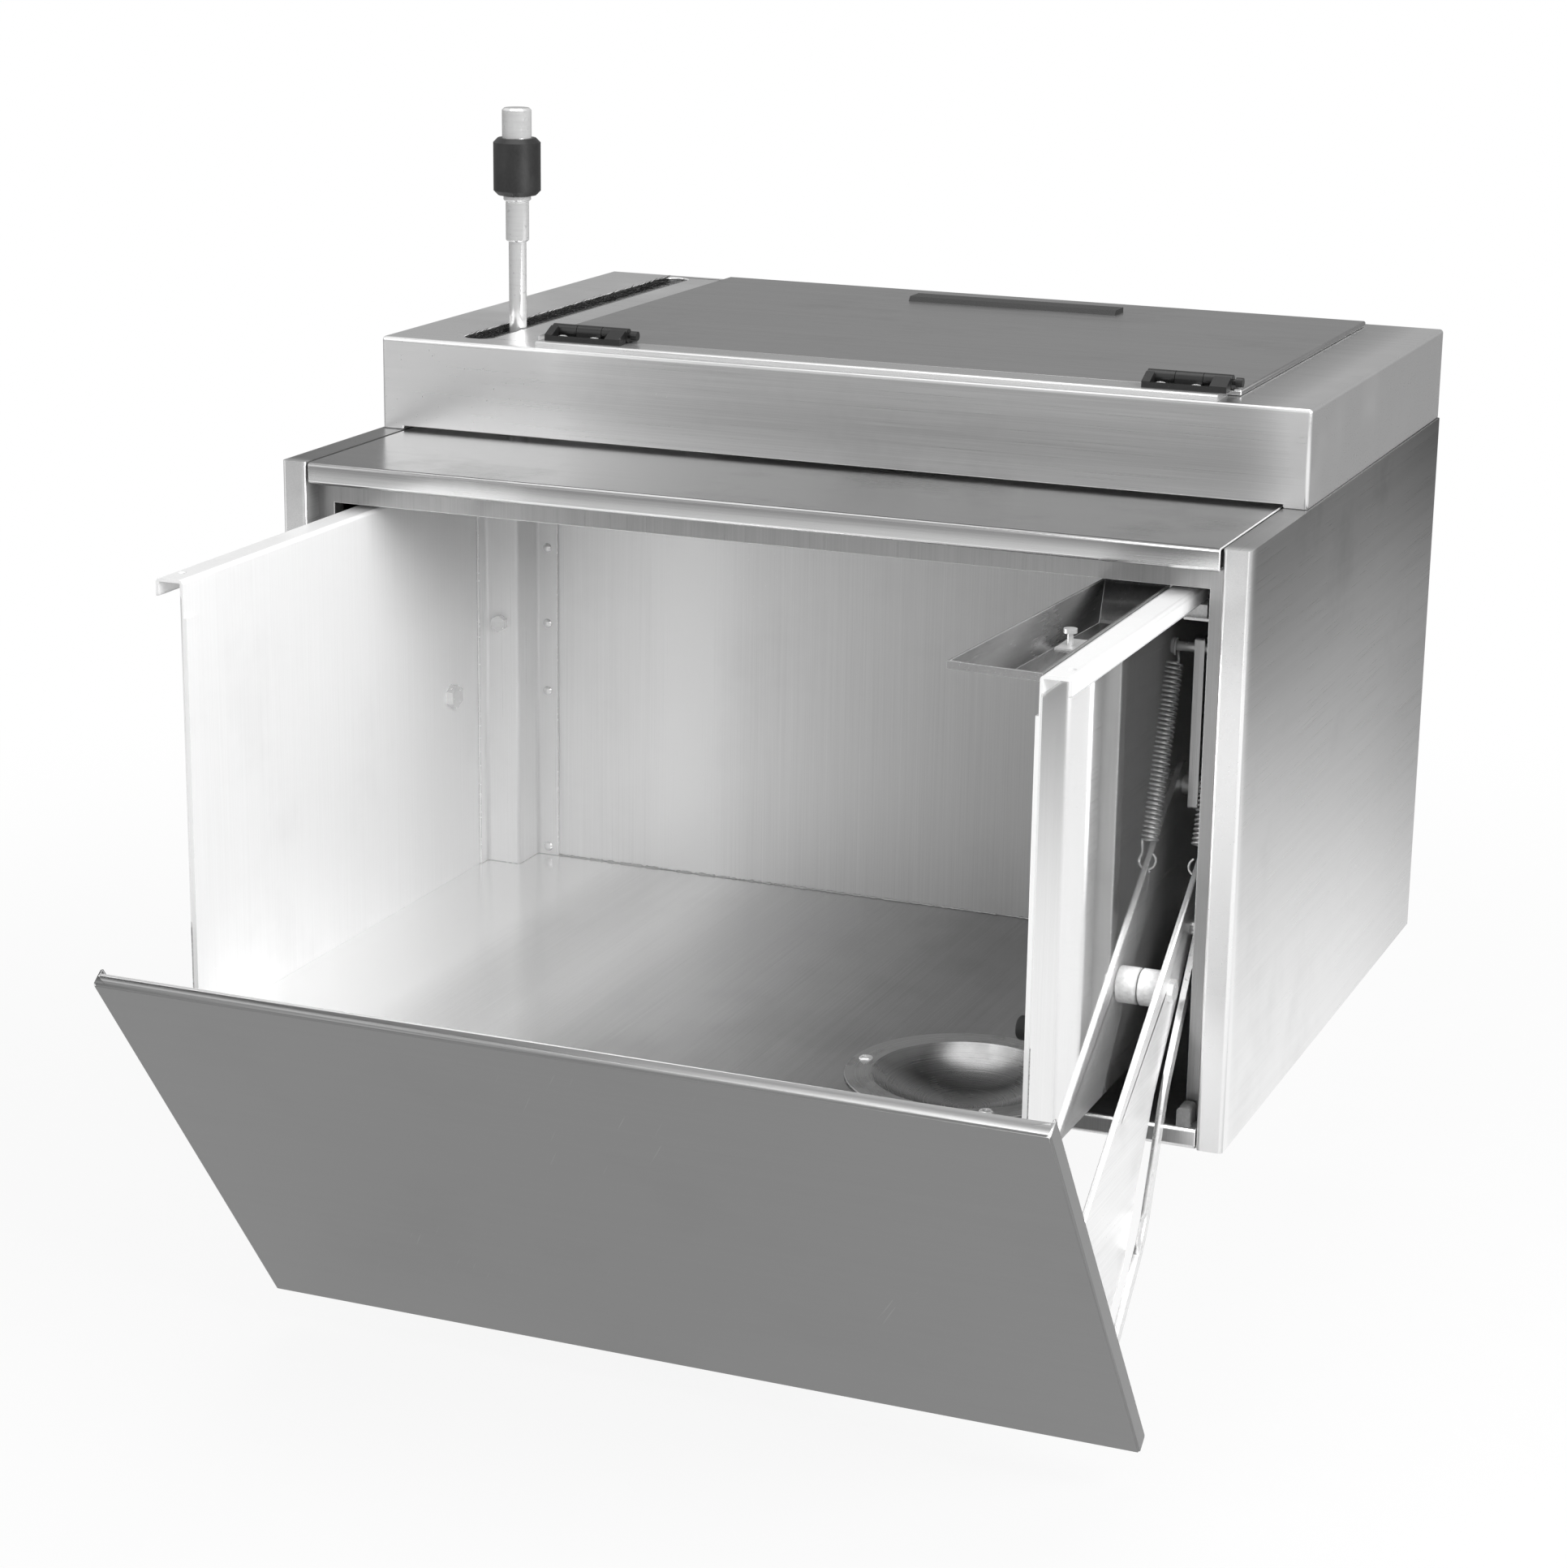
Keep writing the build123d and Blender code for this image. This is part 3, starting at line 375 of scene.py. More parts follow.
@dataclass(frozen=True)
class SpunSteel(Finish):
    """Pressed steel dish with turning marks round its middle."""

    RINGS = 1400.0             # waves per metre outward
    SMUDGE = 40.0
    RELIEF = 0.000015

    centre: tuple[float, float]
    roughness: float = 0.24

    def build(self, surface: Surface) -> bpy.types.Material:
        """Mix the turning marks and the smudges."""
        middle = place(self.centre[0], self.centre[1], 0.0)
        dx = surface.axis(0) - middle.x
        dy = surface.axis(1) - middle.y
        radius = (dx * dx + dy * dy).math("SQRT")
        rings = surface.node(
            "ShaderNodeTexNoise", {"noise_dimensions": "1D"},
            {"W": radius * self.RINGS, "Scale": 1.0, "Detail": 3.0}, "Fac"
        )
        smudge = surface.noise((self.SMUDGE,) * 3, 3.0).above(0.48, 0.7)
        level = (rings - 0.5) * 0.25 - smudge * 0.08 + 0.5
        rough = (rings - 0.5) * 0.14 + smudge * 0.10 + self.roughness
        return surface.finish(
            self.colour(surface, level), rough, rings, self.RELIEF, Metallic=1.0
        )


@dataclass(frozen=True)
class PolishedSteel(Finish):
    """Bright turned or drawn metal with faint marks."""

    DRAWN = 9.0                # times as many waves along Z
    SPOTS = 350.0
    RELIEF = 0.000008

    roughness: float = 0.14
    waves: float = 90.0
    metallic: float = 1.0

    def build(self, surface: Surface) -> bpy.types.Material:
        """Mix the drawing marks and the spots."""
        marks = surface.noise((self.waves, self.waves, self.waves * self.DRAWN), 3.0)
        spots = surface.noise((self.SPOTS,) * 3, 2.0).above(0.62, 0.72)
        level = (marks - 0.5) * 0.16 - spots * 0.12 + 0.5
        rough = (marks - 0.5) * 0.10 + spots * 0.12 + self.roughness
        return surface.finish(
            self.colour(surface, level), rough, marks, self.RELIEF, Metallic=self.metallic
        )


@dataclass(frozen=True)
class Moulded(Finish):
    """Nylon, rubber, felt or bristle: a plain material with a fine texture."""

    PATCHES = 60.0

    roughness: float
    waves: float
    depth: float
    worn: float = 0.0
    sheen: float = 0.0

    def build(self, surface: Surface) -> bpy.types.Material:
        """Mix the texture and the worn patches."""
        texture = surface.noise((self.waves,) * 3, 4.0, 0.6)
        patches = surface.noise((self.PATCHES,) * 3, 3.0).above(0.45, 0.75)
        level = (texture - 0.5) * 0.35 + patches * self.worn + 0.5
        rough = (texture - 0.5) * 0.2 + patches * 0.08 + self.roughness
        return surface.finish(
            self.colour(surface, level), rough, texture, self.depth, Sheen_Weight=self.sheen
        )


@dataclass(frozen=True)
class PaintedMetal(Finish):
    """Black lacquer over steel that shows bright at rubbed places."""

    SKIN = 900.0
    RUBBED = 160.0
    BARE = 0.35
    RELIEF = 0.00002

    tone: float = 0.012
    roughness: float = 0.34

    def build(self, surface: Surface) -> bpy.types.Material:
        """Mix the lacquer's skin and the rubbed places."""
        skin = surface.noise((self.SKIN,) * 3, 3.0)
        rubbed = surface.noise((self.RUBBED,) * 3, 5.0, 0.7).above(0.66, 0.74)
        colour = surface.blend(rubbed * 0.35 + (skin - 0.5) * 0.01, self.tone, self.BARE)
        rough = (skin - 0.5) * 0.2 - rubbed * 0.08 + self.roughness
        return surface.finish(colour, rough, skin, self.RELIEF, Specular_IOR_Level=0.6)


class Finishes:
    """The finishes of the drawer's pieces. The steel pieces are one stainless steel; their tones
    differ from piece to piece as painted light and shade, dark on the door and near white on the
    drawer's walls.
    """

    # Its two stripes brighten the cover's left and right ends: painted reflections.
    cover = BrushedSteel(
        "cover_steel", 0.62, 0.30, Grain.ALONG_X, scratches=0.9,
        painted_light_bands=(PaintedLightBand(0, -262.0, 110.0, 0.8), PaintedLightBand(0, 250.0, 20.0, 0.35)),
        metallic=0.96
    )
    lid = BrushedSteel("lid_steel", 0.56, 0.30, Grain.ALONG_X, scratches=0.5)
    # Its stripes are painted light: a bright line low on the front face and a lighter left end.
    ledge = BrushedSteel(
        "ledge_steel", 0.38, 0.22, Grain.ALONG_X, scratches=0.5,
        painted_light_bands=(PaintedLightBand(2, 286.0, 5.0, 0.7), PaintedLightBand(0, -230.0, 130.0, 0.08))
    )
    # Its stripes are painted light and shade: a bright front flange, a darker top, a lighter
    # foot and a darker rear.
    side = BrushedSteel(
        "side_steel", 0.74, 0.30, Grain.ALONG_Y, contrast=0.10, smudges=0.04,
        painted_light_bands=(
            PaintedLightBand(1, 0.0, 6.0, 0.3), PaintedLightBand(2, 300.0, 85.0, -0.32), PaintedLightBand(2, 0.0, 100.0, 0.12),
            PaintedLightBand(1, 420.0, 130.0, -0.12)
        ),
        metallic=0.8
    )
    inside = BrushedSteel("housing_inside_steel", 0.78, 0.34, Grain.ALONG_Z)
    frame = BrushedSteel("inner_frame_steel", 0.42, 0.30, Grain.ALONG_Z)
    # Its stripe is a painted highlight along the strip's front face.
    strip = BrushedSteel(
        "strip_steel", 0.60, 0.26, Grain.ALONG_X, painted_light_bands=(PaintedLightBand(1, 107.0, 1.6, 0.6),),
        metallic=0.7
    )
    wall = BrushedSteel(
        "drawer_wall_steel", 0.95, 0.36, Grain.ALONG_Z, contrast=0.07, broad=0.3,
        smudges=0.02, scratches=0.15, metallic=0.12, polished_beyond=210.3
    )
    post = BrushedSteel(
        "post_steel", 0.95, 0.30, Grain.ALONG_Z, contrast=0.07, broad=0.4, smudges=0.02,
        scratches=0.1, metallic=0.12
    )
    # Its stripes are painted light and shade: the right part darker, as in the right wall's
    # shade, and a faint lighter stripe left of the middle.
    back = BrushedSteel(
        "drawer_back_steel", 0.92, 0.32, Grain.ALONG_Z, contrast=0.08, broad=0.3,
        smudges=0.02, scratches=0.15, metallic=0.35,
        painted_light_bands=(PaintedLightBand(0, 150.0, 170.0, -0.14), PaintedLightBand(0, -95.0, 22.0, 0.06))
    )
    # Its stripes are painted light and shade: a bright left part as a painted reflection of the
    # left wall, a lighter stripe, and a darker right part.
    floor = BrushedSteel(
        "drawer_floor_steel", 0.62, 0.20, Grain.ALONG_Y, smudges=0.03, broad=0.4,
        painted_light_bands=(
            PaintedLightBand(0, -215.0, 80.0, 0.6), PaintedLightBand(0, -75.0, 30.0, 0.14), PaintedLightBand(0, 120.0, 120.0, -0.3)
        ), metallic=0.7
    )
    door = BrushedSteel(
        "door_steel", 0.27, 0.36, Grain.ALONG_X, contrast=0.07, broad=0.3, smudges=0.01,
        scratches=0.15
    )
    liner = BrushedSteel("door_liner_steel", 0.70, 0.28, Grain.ALONG_X, metallic=0.8)
    tray = BrushedSteel("tray_steel", 0.44, 0.24, Grain.ALONG_Y, broad=0.8)
    arm = BrushedSteel("arm_steel", 0.80, 0.32, Grain.ALONG_Y, scratches=0.4, metallic=0.45)
    bracket = BrushedSteel("bracket_steel", 0.60, 0.30, Grain.ALONG_Z)
    bar = PolishedSteel("bar_steel", 0.85, 0.20, metallic=0.8)
    # Near white and mostly non-metallic on the bevelled sheet edges: a painted highlight along
    # every bend.
    edge = PolishedSteel("sheet_edge_highlight", 0.98, 0.26, metallic=0.35)
    rod = PolishedSteel("lever_steel", 0.97, 0.12, metallic=0.6)
    fixing = PolishedSteel("fixing_steel", 0.92, 0.20, 300.0, metallic=0.6)
    wire = PolishedSteel("spring_wire_steel", 0.95, 0.22, 500.0, metallic=0.5)
    weld = PolishedSteel("weld_steel", 0.55, 0.36, 900.0)
    black = PaintedMetal("black_lacquer")
    grip = Moulded("grip_plastic", 0.02, 0.36, 700.0, 0.00003, worn=0.2)
    rubber = Moulded("bumper_rubber", 0.016, 0.62, 900.0, 0.00004, worn=0.3)
    felt = Moulded("slot_felt", 0.018, 0.9, 2600.0, 0.0002, sheen=0.4)
    bristle = Moulded("slot_bristle", 0.014, 0.6, 1500.0, 0.00002, sheen=0.2)
    block = Moulded("guide_nylon", 0.22, 0.42, 500.0, 0.00002)
    nylon = Moulded("roller_nylon", 0.82, 0.38, 500.0, 0.00002)


# ---- tools -----------------------------------------------------------------------------
class GeometryTree(NodeGroup):
    """A Geometry Nodes tree with named inputs that ends in real, dressed geometry."""

    KINDS = {float: "NodeSocketFloat", int: "NodeSocketInt", tuple: "NodeSocketVector"}

    def __init__(self, name: str, inputs: dict[str, float | int | Point]) -> None:
        """Make the tree's sockets.

        Args:
            name: Name of the tree.
            inputs: Sizes with their values.
        """
        super().__init__(bpy.data.node_groups.new(name, "GeometryNodeTree"))
        self.inputs = inputs
        face = self.tree.interface
        face.new_socket("Geometry", in_out="INPUT", socket_type="NodeSocketGeometry")
        for label, value in inputs.items():
            face.new_socket(label, in_out="INPUT", socket_type=self.KINDS[type(value)])
        face.new_socket("Shape", in_out="INPUT", socket_type="NodeSocketObject")
        face.new_socket("Finish", in_out="INPUT", socket_type="NodeSocketMaterial")
        face.new_socket("Geometry", in_out="OUTPUT", socket_type="NodeSocketGeometry")
        self.source = self.tree.nodes.new("NodeGroupInput")

    def given(self, label: str) -> Signal:
        """The signal of a named input."""
        return Signal(self, self.source.outputs[label])

    def scattered(self, low: Point, high: Point, seed: int) -> Signal:
        """A random vector for each point, from a fixed seed."""
        return self.node(
            "FunctionNodeRandomValue", {"data_type": "FLOAT_VECTOR"},
            {"Min": low, "Max": high, "Seed": seed}, "Value"
        )

    def tube(
        self, curve: Signal, sides: Signal | int, radius: Signal, scale: Signal | None = None
    ) -> Signal:
        """Sweep a round profile along a curve.

        Args:
            curve: The line that it follows.
            sides: Number of the profile's corners.
            radius: The profile's radius in metres.
            scale: Its scale at each point, if it varies.

        Returns:
            The smooth tube, closed at its ends.
        """
        ring = self.node(
            "GeometryNodeCurvePrimitiveCircle", None, {"Resolution": sides, "Radius": radius}
        )
        values = {"Curve": curve, "Profile Curve": ring, "Fill Caps": True}
        if scale is not None:
            values["Scale"] = scale
        swept = self.node("GeometryNodeCurveToMesh", None, values)
        return self.node("GeometryNodeSetShadeSmooth", None, {"Geometry": swept})

    def repeated(self, shape: Signal, turn: Signal, size: Signal | None = None) -> Signal:
        """Set a shape at each of the mesh's points.

        Args:
            shape: The geometry that is repeated.
            turn: Its rotation at each point.
            size: Its scale at each point, if it varies.

        Returns:
            The instances.
        """
        points = self.node("GeometryNodeMeshToPoints", None, {0: self.given("Geometry")})
        values = {"Points": points, "Instance": shape, "Rotation": turn}
        if size is not None:
            values["Scale"] = size
        return self.node("GeometryNodeInstanceOnPoints", None, values)

    def close(self, geometry: Signal) -> None:
        """End the tree in real geometry with its material."""
        real = self.node("GeometryNodeRealizeInstances", None, {"Geometry": geometry})
        dressed = self.node(
            "GeometryNodeSetMaterial", None, {"Geometry": real, "Material": self.given("Finish")}
        )
        self.node("NodeGroupOutput", None, {"Geometry": dressed})

    def grow(
        self, name: str, mesh: bpy.types.Mesh, finish: bpy.types.Material,
        shape: bpy.types.Object | None = None
    ) -> bpy.types.Object:
        """Run the tree on a mesh and keep the result as a plain piece.

        Args:
            name: Name of the new piece.
            mesh: Points or lines that the tree works on.
            finish: Material of the result.
            shape: Object that is repeated, if there is one.

        Returns:
            The new piece, at the origin.
        """
        carrier = new_object(name + "_lines", mesh)
        modifier = carrier.modifiers.new("grow", "NODES")
        modifier.node_group = self.tree
        values = {**self.inputs, "Finish": finish, "Shape": shape}
        for item in self.tree.interface.items_tree:
            if item.in_out == "INPUT" and values.get(item.name) is not None:
                modifier[item.identifier] = values[item.name]
        evaluated = carrier.evaluated_get(bpy.context.evaluated_depsgraph_get())
        result = bpy.data.meshes.new_from_object(evaluated)
        bpy.data.objects.remove(carrier)
        piece = new_object(name, result)
        log.info("%s: %d faces", name, len(result.polygons))
        return piece


def new_object(name: str, mesh: bpy.types.Mesh) -> bpy.types.Object:
    """Link a new object at the origin."""
    made = bpy.data.objects.new(name, mesh)
    bpy.context.scene.collection.objects.link(made)
    return made


def box_mesh(size: Point, lift: float) -> bpy.types.Mesh:
    """A box of a size in metres, with its middle lifted above the origin."""
    build = bmesh.new()
    bmesh.ops.create_cube(build, size=1.0)
    bmesh.ops.scale(build, vec=size, verts=build.verts)
    bmesh.ops.translate(build, vec=(0, 0, lift), verts=build.verts)
    mesh = bpy.data.meshes.new("box")
    build.to_mesh(mesh)
    build.free()
    return mesh


def line_mesh(points: list[Vector], joined: bool = True) -> bpy.types.Mesh:
    """A mesh of points, joined in a line or loose.

    Args:
        points: Places in the row frame.
        joined: Whether each point is joined to the next one.

    Returns:
        The mesh.
    """
    mesh = bpy.data.meshes.new("line")
    edges = [(i, i + 1) for i in range(len(points) - 1)] if joined else []
    mesh.from_pydata([tuple(p) for p in points], edges, [])
    return mesh


def both(name: str) -> list[str]:
    """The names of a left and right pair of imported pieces."""
    return [name + "_left", name + "_right"]


def dress(
    names: list[str], finish: bpy.types.Material, edge: bpy.types.Material | None = None,
    width: float = 0.35
) -> None:
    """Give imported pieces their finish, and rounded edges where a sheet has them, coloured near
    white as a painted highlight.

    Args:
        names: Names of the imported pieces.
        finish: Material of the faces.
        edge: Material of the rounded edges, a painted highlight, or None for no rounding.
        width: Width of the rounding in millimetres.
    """
    for name in names:
        node = frame["nodes"][name]
        node.data.materials.clear()
        node.data.materials.append(finish)
        if edge:
            node.data.materials.append(edge)
            weld = node.modifiers.new("merge", "WELD")
            weld.merge_threshold = MERGE
            bevel = node.modifiers.new("edge", "BEVEL")
            bevel.width = width * MM
            bevel.segments = 1
            bevel.limit_method = "ANGLE"
            bevel.angle_limit = SHARP
            bevel.material = 1
            bevel.harden_normals = True
        log.info("dressed %s", name)


@dataclass
class ScrewHead:
    """Low round head with a cross recess."""

    # outline, as shares of the radius and of the height
    OUTLINE = ((1.0, 0.0), (1.0, 0.35), (0.93, 0.62), (0.78, 0.84), (0.5, 0.97))
    TURNS = 24
    CROSS = (0.56, 0.14)       # half its length and half its width, as shares of the radius
    CROSS_LIFT = 1.05          # of its middle, as a share of the height

    radius: float
    height: float

    def shape(self) -> bpy.types.Object:
        """Turn the head's outline and cut its recess.

        Returns:
            An object with the head's foot at its origin and its axis along Z.
        """
        build = bmesh.new()
        rings = []
        for share, rise in self.OUTLINE:
            ring = []
            for step in range(self.TURNS):
                angle = math.tau * step / self.TURNS
                ring.append(build.verts.new((
                    share * self.radius * MM * math.cos(angle),
                    share * self.radius * MM * math.sin(angle), rise * self.height * MM
                )))
            rings.append(ring)
        for low, high in zip(rings, rings[1:]):
            for step in range(self.TURNS):
                after = (step + 1) % self.TURNS
                build.faces.new((low[step], low[after], high[after], high[step]))
        build.faces.new(rings[-1])
        build.faces.new(list(reversed(rings[0])))
        mesh = bpy.data.meshes.new("head")
        build.to_mesh(mesh)
        build.free()
        return self.cut(new_object("head", mesh))

    def cut(self, head: bpy.types.Object) -> bpy.types.Object:
        """Cut the cross into the head."""
        arm, wide = (2 * self.radius * share * MM for share in self.CROSS)
        height = self.height * MM
        cutters = []
        for size in ((wide, arm, height), (arm, wide, height)):
            cutter = new_object("cross", box_mesh(size, height * self.CROSS_LIFT))
            cutters.append(cutter)
            modifier = head.modifiers.new("cut", "BOOLEAN")
            modifier.operation = "DIFFERENCE"
            modifier.solver = "EXACT"
            modifier.object = cutter
        evaluated = head.evaluated_get(bpy.context.evaluated_depsgraph_get())
        mesh = bpy.data.meshes.new_from_object(evaluated)
        for old in (*cutters, head):
            bpy.data.objects.remove(old)
        return new_object("head", mesh)


@dataclass
class HeadRow:
    """A group of like screw or rivet heads on one body."""

    name: str
    places: list[Point]
    toward: Point
    head: ScrewHead
    seed: int = 3

    def build(self, body: str, replaced: str, finish: bpy.types.Material) -> bpy.types.Object:
        """Set the heads at their places, each turned by its own amount.

        Args:
            body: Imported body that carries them.
            replaced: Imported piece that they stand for.
            finish: Their material.

        Returns:
            The new piece.
        """
        tree = GeometryTree(self.name, {"Toward": self.toward})
        align = tree.node(
            "FunctionNodeAlignRotationToVector", {"axis": "Z"}, {"Vector": tree.given("Toward")}
        )
        spin = tree.node(
            "FunctionNodeEulerToRotation", None,
            {0: tree.scattered((0.0, 0.0, 0.0), (0.0, 0.0, math.pi), self.seed)}
        )
        turned = tree.node(
            "FunctionNodeRotateRotation", {"rotation_space": "LOCAL"},
            {"Rotation": align, "Rotate By": spin}
        )
        shape = tree.node(
            "GeometryNodeObjectInfo", None, {"Object": tree.given("Shape")}, "Geometry"
        )
        tree.close(tree.repeated(shape, turned))
        shape_object = self.head.shape()
        mesh = line_mesh([place(*p) for p in self.places], joined=False)
        piece = tree.grow(self.name, mesh, finish, shape_object)
        bpy.data.objects.remove(shape_object)
        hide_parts(replaced)
        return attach(piece, body)


# ---- sub-assemblies --------------------------------------------------------------------
@dataclass
class Housing:
    """Fixed shell: sides, pan, back, ledge, frame, cover, channels and hinges."""

    lid_top: float = 347.5
    leaf_height: float = 2.8
    pocket: float = 1.0
    hinge_starts: tuple[float, float] = (-160.0, 165.0)
    hinge_length: float = 43.0
    screw_shares: tuple[float, float] = (0.2, 0.62)
    front_row: float = 116.0
    cover_edge: float = 0.6
    side_edge: float = 0.4
    inner_edge: float = 0.3
    strip_edge: float = 0.9
    screw: ScrewHead = field(default_factory=lambda: ScrewHead(2.6, 1.0))

    def build(self) -> None:
        """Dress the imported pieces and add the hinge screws."""
        edge = Finishes.edge.material()
        dress(["top_cover"], Finishes.cover.material(), edge, self.cover_edge)
        dress(["front_ledge"], Finishes.ledge.material(), edge, self.cover_edge)
        dress(both("side_panel"), Finishes.side.material(), edge, self.side_edge)
        dress(["back_panel"], Finishes.side.material(), edge, self.side_edge)
        dress(["base_pan"], Finishes.inside.material(), edge, self.inner_edge)
        dress(["inner_frame"], Finishes.frame.material(), edge, self.inner_edge)
        dress(both("slide_channel"), Finishes.inside.material(), edge, self.inner_edge)
        dress(["hinge_strip"], Finishes.strip.material(), edge, self.strip_edge)
        dress(both("wear_strip"), Finishes.nylon.material())
        dress(both("guide_block"), Finishes.block.material())
        dress(["slot_felt"], Finishes.felt.material())
        dress(["hinge_front_leaves", "hinge_pins"], Finishes.black.material())
        self.hinge_screws("hinge_front_screws", self.front_row, "housing", self.pocket)

    def hinge_screws(self, node: str, y: float, body: str, depth: float) -> bpy.types.Object:
        """Set two screws on each hinge leaf, this many millimetres below its top."""
        top = self.lid_top + self.leaf_height - depth
        places = [
            (start + self.hinge_length * share, y, top)
            for start in self.hinge_starts for share in self.screw_shares
        ]
        row = HeadRow(node.replace("screws", "screw_heads"), places, (0.0, 0.0, 1.0), self.screw)
        return row.build(body, node, Finishes.fixing.material())


@dataclass
class SlotBrush:
    """Bristles along the slot's outer edge, ragged at their tips."""

    root: float = -213.4
    ends: tuple[float, float] = (122.0, 386.0)
    top: float = 344.0
    rows: int = 6
    row_step: float = 0.7
    in_row: int = 420
    length: float = 4.9
    thickness: float = 0.16
    tip: float = 0.03
    ragged: float = 0.35
    least_lean: Point = (-0.55, 0.9, -0.5)
    most_lean: Point = (0.55, 1.75, 0.5)
    seed: int = 11

    def build(self) -> bpy.types.Object:
        """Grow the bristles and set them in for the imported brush."""
        step = (self.ends[1] - self.ends[0]) / self.in_row
        tree = GeometryTree("slot_bristle_rows", {
            "Length": self.length * MM, "Thickness": self.thickness * MM,
            "Ragged": self.ragged, "Seed": self.seed
        })
        lean = tree.scattered(self.least_lean, self.most_lean, self.seed)
        turn = tree.node("FunctionNodeEulerToRotation", None, {0: lean})
        cone = tree.node(
            "GeometryNodeMeshCone", {"fill_type": "NONE"},
            {"Vertices": 3, "Side Segments": 2, "Radius Top": self.tip * MM,
             "Radius Bottom": tree.given("Thickness"), "Depth": tree.given("Length")}, "Mesh"
        )
        size = tree.node(
            "FunctionNodeRandomValue", {"data_type": "FLOAT"},
            {"Min_001": 1.0 - tree.given("Ragged"), "Max_001": 1.0, "Seed": tree.given("Seed")},
            "Value_001"
        )
        tree.close(tree.repeated(cone, turn, size))
        places = [
            place(self.root, self.ends[0] + step * (index + 0.5 * (row % 2)),
                  self.top - self.row_step * row)
            for row in range(self.rows) for index in range(self.in_row)
        ]
        piece = tree.grow("slot_bristles", line_mesh(places, False), Finishes.bristle.material())
        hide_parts("slot_brush")
        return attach(piece, "housing")


@dataclass
class Lid:
    """Hinged lid on the cover, with its pull and the hinges' rear leaves."""

    housing: Housing
    rear_row: float = 130.5
    rim_edge: float = 0.5

    def build(self) -> None:
        """Dress the lid and add the rear screws."""
        edge = Finishes.edge.material()
        dress(["lid_panel"], Finishes.lid.material(), edge, self.rim_edge)
        dress(["lid_pull", "hinge_rear_leaves"], Finishes.black.material())
        self.housing.hinge_screws("hinge_rear_screws", self.rear_row, "lid", 0.0)


@dataclass
class WireSpring:
    """Extension spring from the bracket's peg to the hole in the door's arm."""

    side: int
    x: float = 223.5
    coil_radius: float = 3.9
    wire: float = 0.6
    curls: int = 38
    steps: int = 20
    sides: int = 8
    last_turn: float = 0.25
    hook_step: float = 9.0
    hook_points: int = 31
    hook_starts: tuple[float, float] = (330.0, 60.0)
    hook_radius: float = 4.2
    hook_lead: tuple[float, float] = (10.0, 7.0)
    hole: tuple[float, float] = (41.36, 123.83)
    peg: tuple[float, float] = (79.3, 228.0)
    hole_offset: float = 4.65
    peg_offset: float = 0.95

    def bridge(self, start: Vector, out: Vector, end: Vector, into: Vector) -> list[Vector]:
        """Points of a smooth curve between two ends with given directions."""
        reach = (end - start).length
        points = []
        for step in range(1, self.steps):
            t = step / self.steps
            points.append(
                start * (2 * t ** 3 - 3 * t ** 2 + 1) + out * (reach * (t ** 3 - 2 * t ** 2 + t))
                + end * (3 * t ** 2 - 2 * t ** 3) + into * (reach * (t ** 3 - t ** 2))
            )
        return points

    def hook(
        self, centre: Vector, along: Vector, sideways: Vector, turns: list[float]
    ) -> list[Vector]:
        """Points of a round hook, at the given angles."""
        radius = self.hook_radius
        return [
            centre + along * (radius * math.cos(turn)) + sideways * (radius * math.sin(turn))
            for turn in turns
        ]

    def path(self) -> list[Vector]:
        """Points along the middle of the wire, from the arm to the peg."""
        hole = place(self.x, *self.hole) / MM
        pin = place(self.x, *self.peg) / MM
        along = (pin - hole).normalized()
        across = Vector((1.0, 0.0, 0.0))
        side = along.cross(across)
        low = hole + along * self.hole_offset
        high = pin - along * self.peg_offset
        start, top_start = self.hook_starts
        sweep = [math.radians(start - self.hook_step * i) for i in range(self.hook_points)]
        points = self.hook(low, along, across, sweep)
        foot = low + along * self.hook_lead[0]
        length = (high - low).length - sum(self.hook_lead)
        total = self.curls + self.last_turn
        coil = []
        for step in range(int(total * self.steps) + 1):
            turned = step / self.steps
            angle = math.tau * turned
            coil.append(
                foot + along * (length * turned / total)
                + (across * math.cos(angle) + side * math.sin(angle)) * self.coil_radius
            )
        out = along * math.sin(sweep[-1]) - across * math.cos(sweep[-1])
        points += self.bridge(points[-1], out, coil[0], side)
        points += coil
        ring = [math.radians(top_start + self.hook_step * i) for i in range(self.hook_points)]
        top = self.hook(high, -along, side, ring)
        into = along * math.sin(ring[0]) + side * math.cos(ring[0])
        points += self.bridge(coil[-1], (coil[-1] - coil[-2]).normalized(), top[0], into)
        points += top
        return [Vector((p.x * self.side, p.y, p.z)) * MM for p in points]

    def build(self) -> bpy.types.Object:
        """Sweep the wire from the drawer's peg to the door's arm, and bake its place into its
        mesh.
        """
        name = "wire_spring_right" if self.side > 0 else "wire_spring_left"
        tree = GeometryTree(
            name + "_sweep", {"Wire Radius": self.wire * MM, "Sides": self.sides}
        )
        curve = tree.node("GeometryNodeMeshToCurve", None, {"Mesh": tree.given("Geometry")})
        tree.close(tree.tube(curve, tree.given("Sides"), tree.given("Wire Radius")))
        piece = tree.grow(name, line_mesh(self.path()), Finishes.wire.material())
        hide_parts(name.replace("wire_spring", "door_spring"))
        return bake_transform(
            piece, "drawer", "door", start=place(self.x * self.side, *self.peg),
            end=place(self.x * self.side, *self.hole)
        )


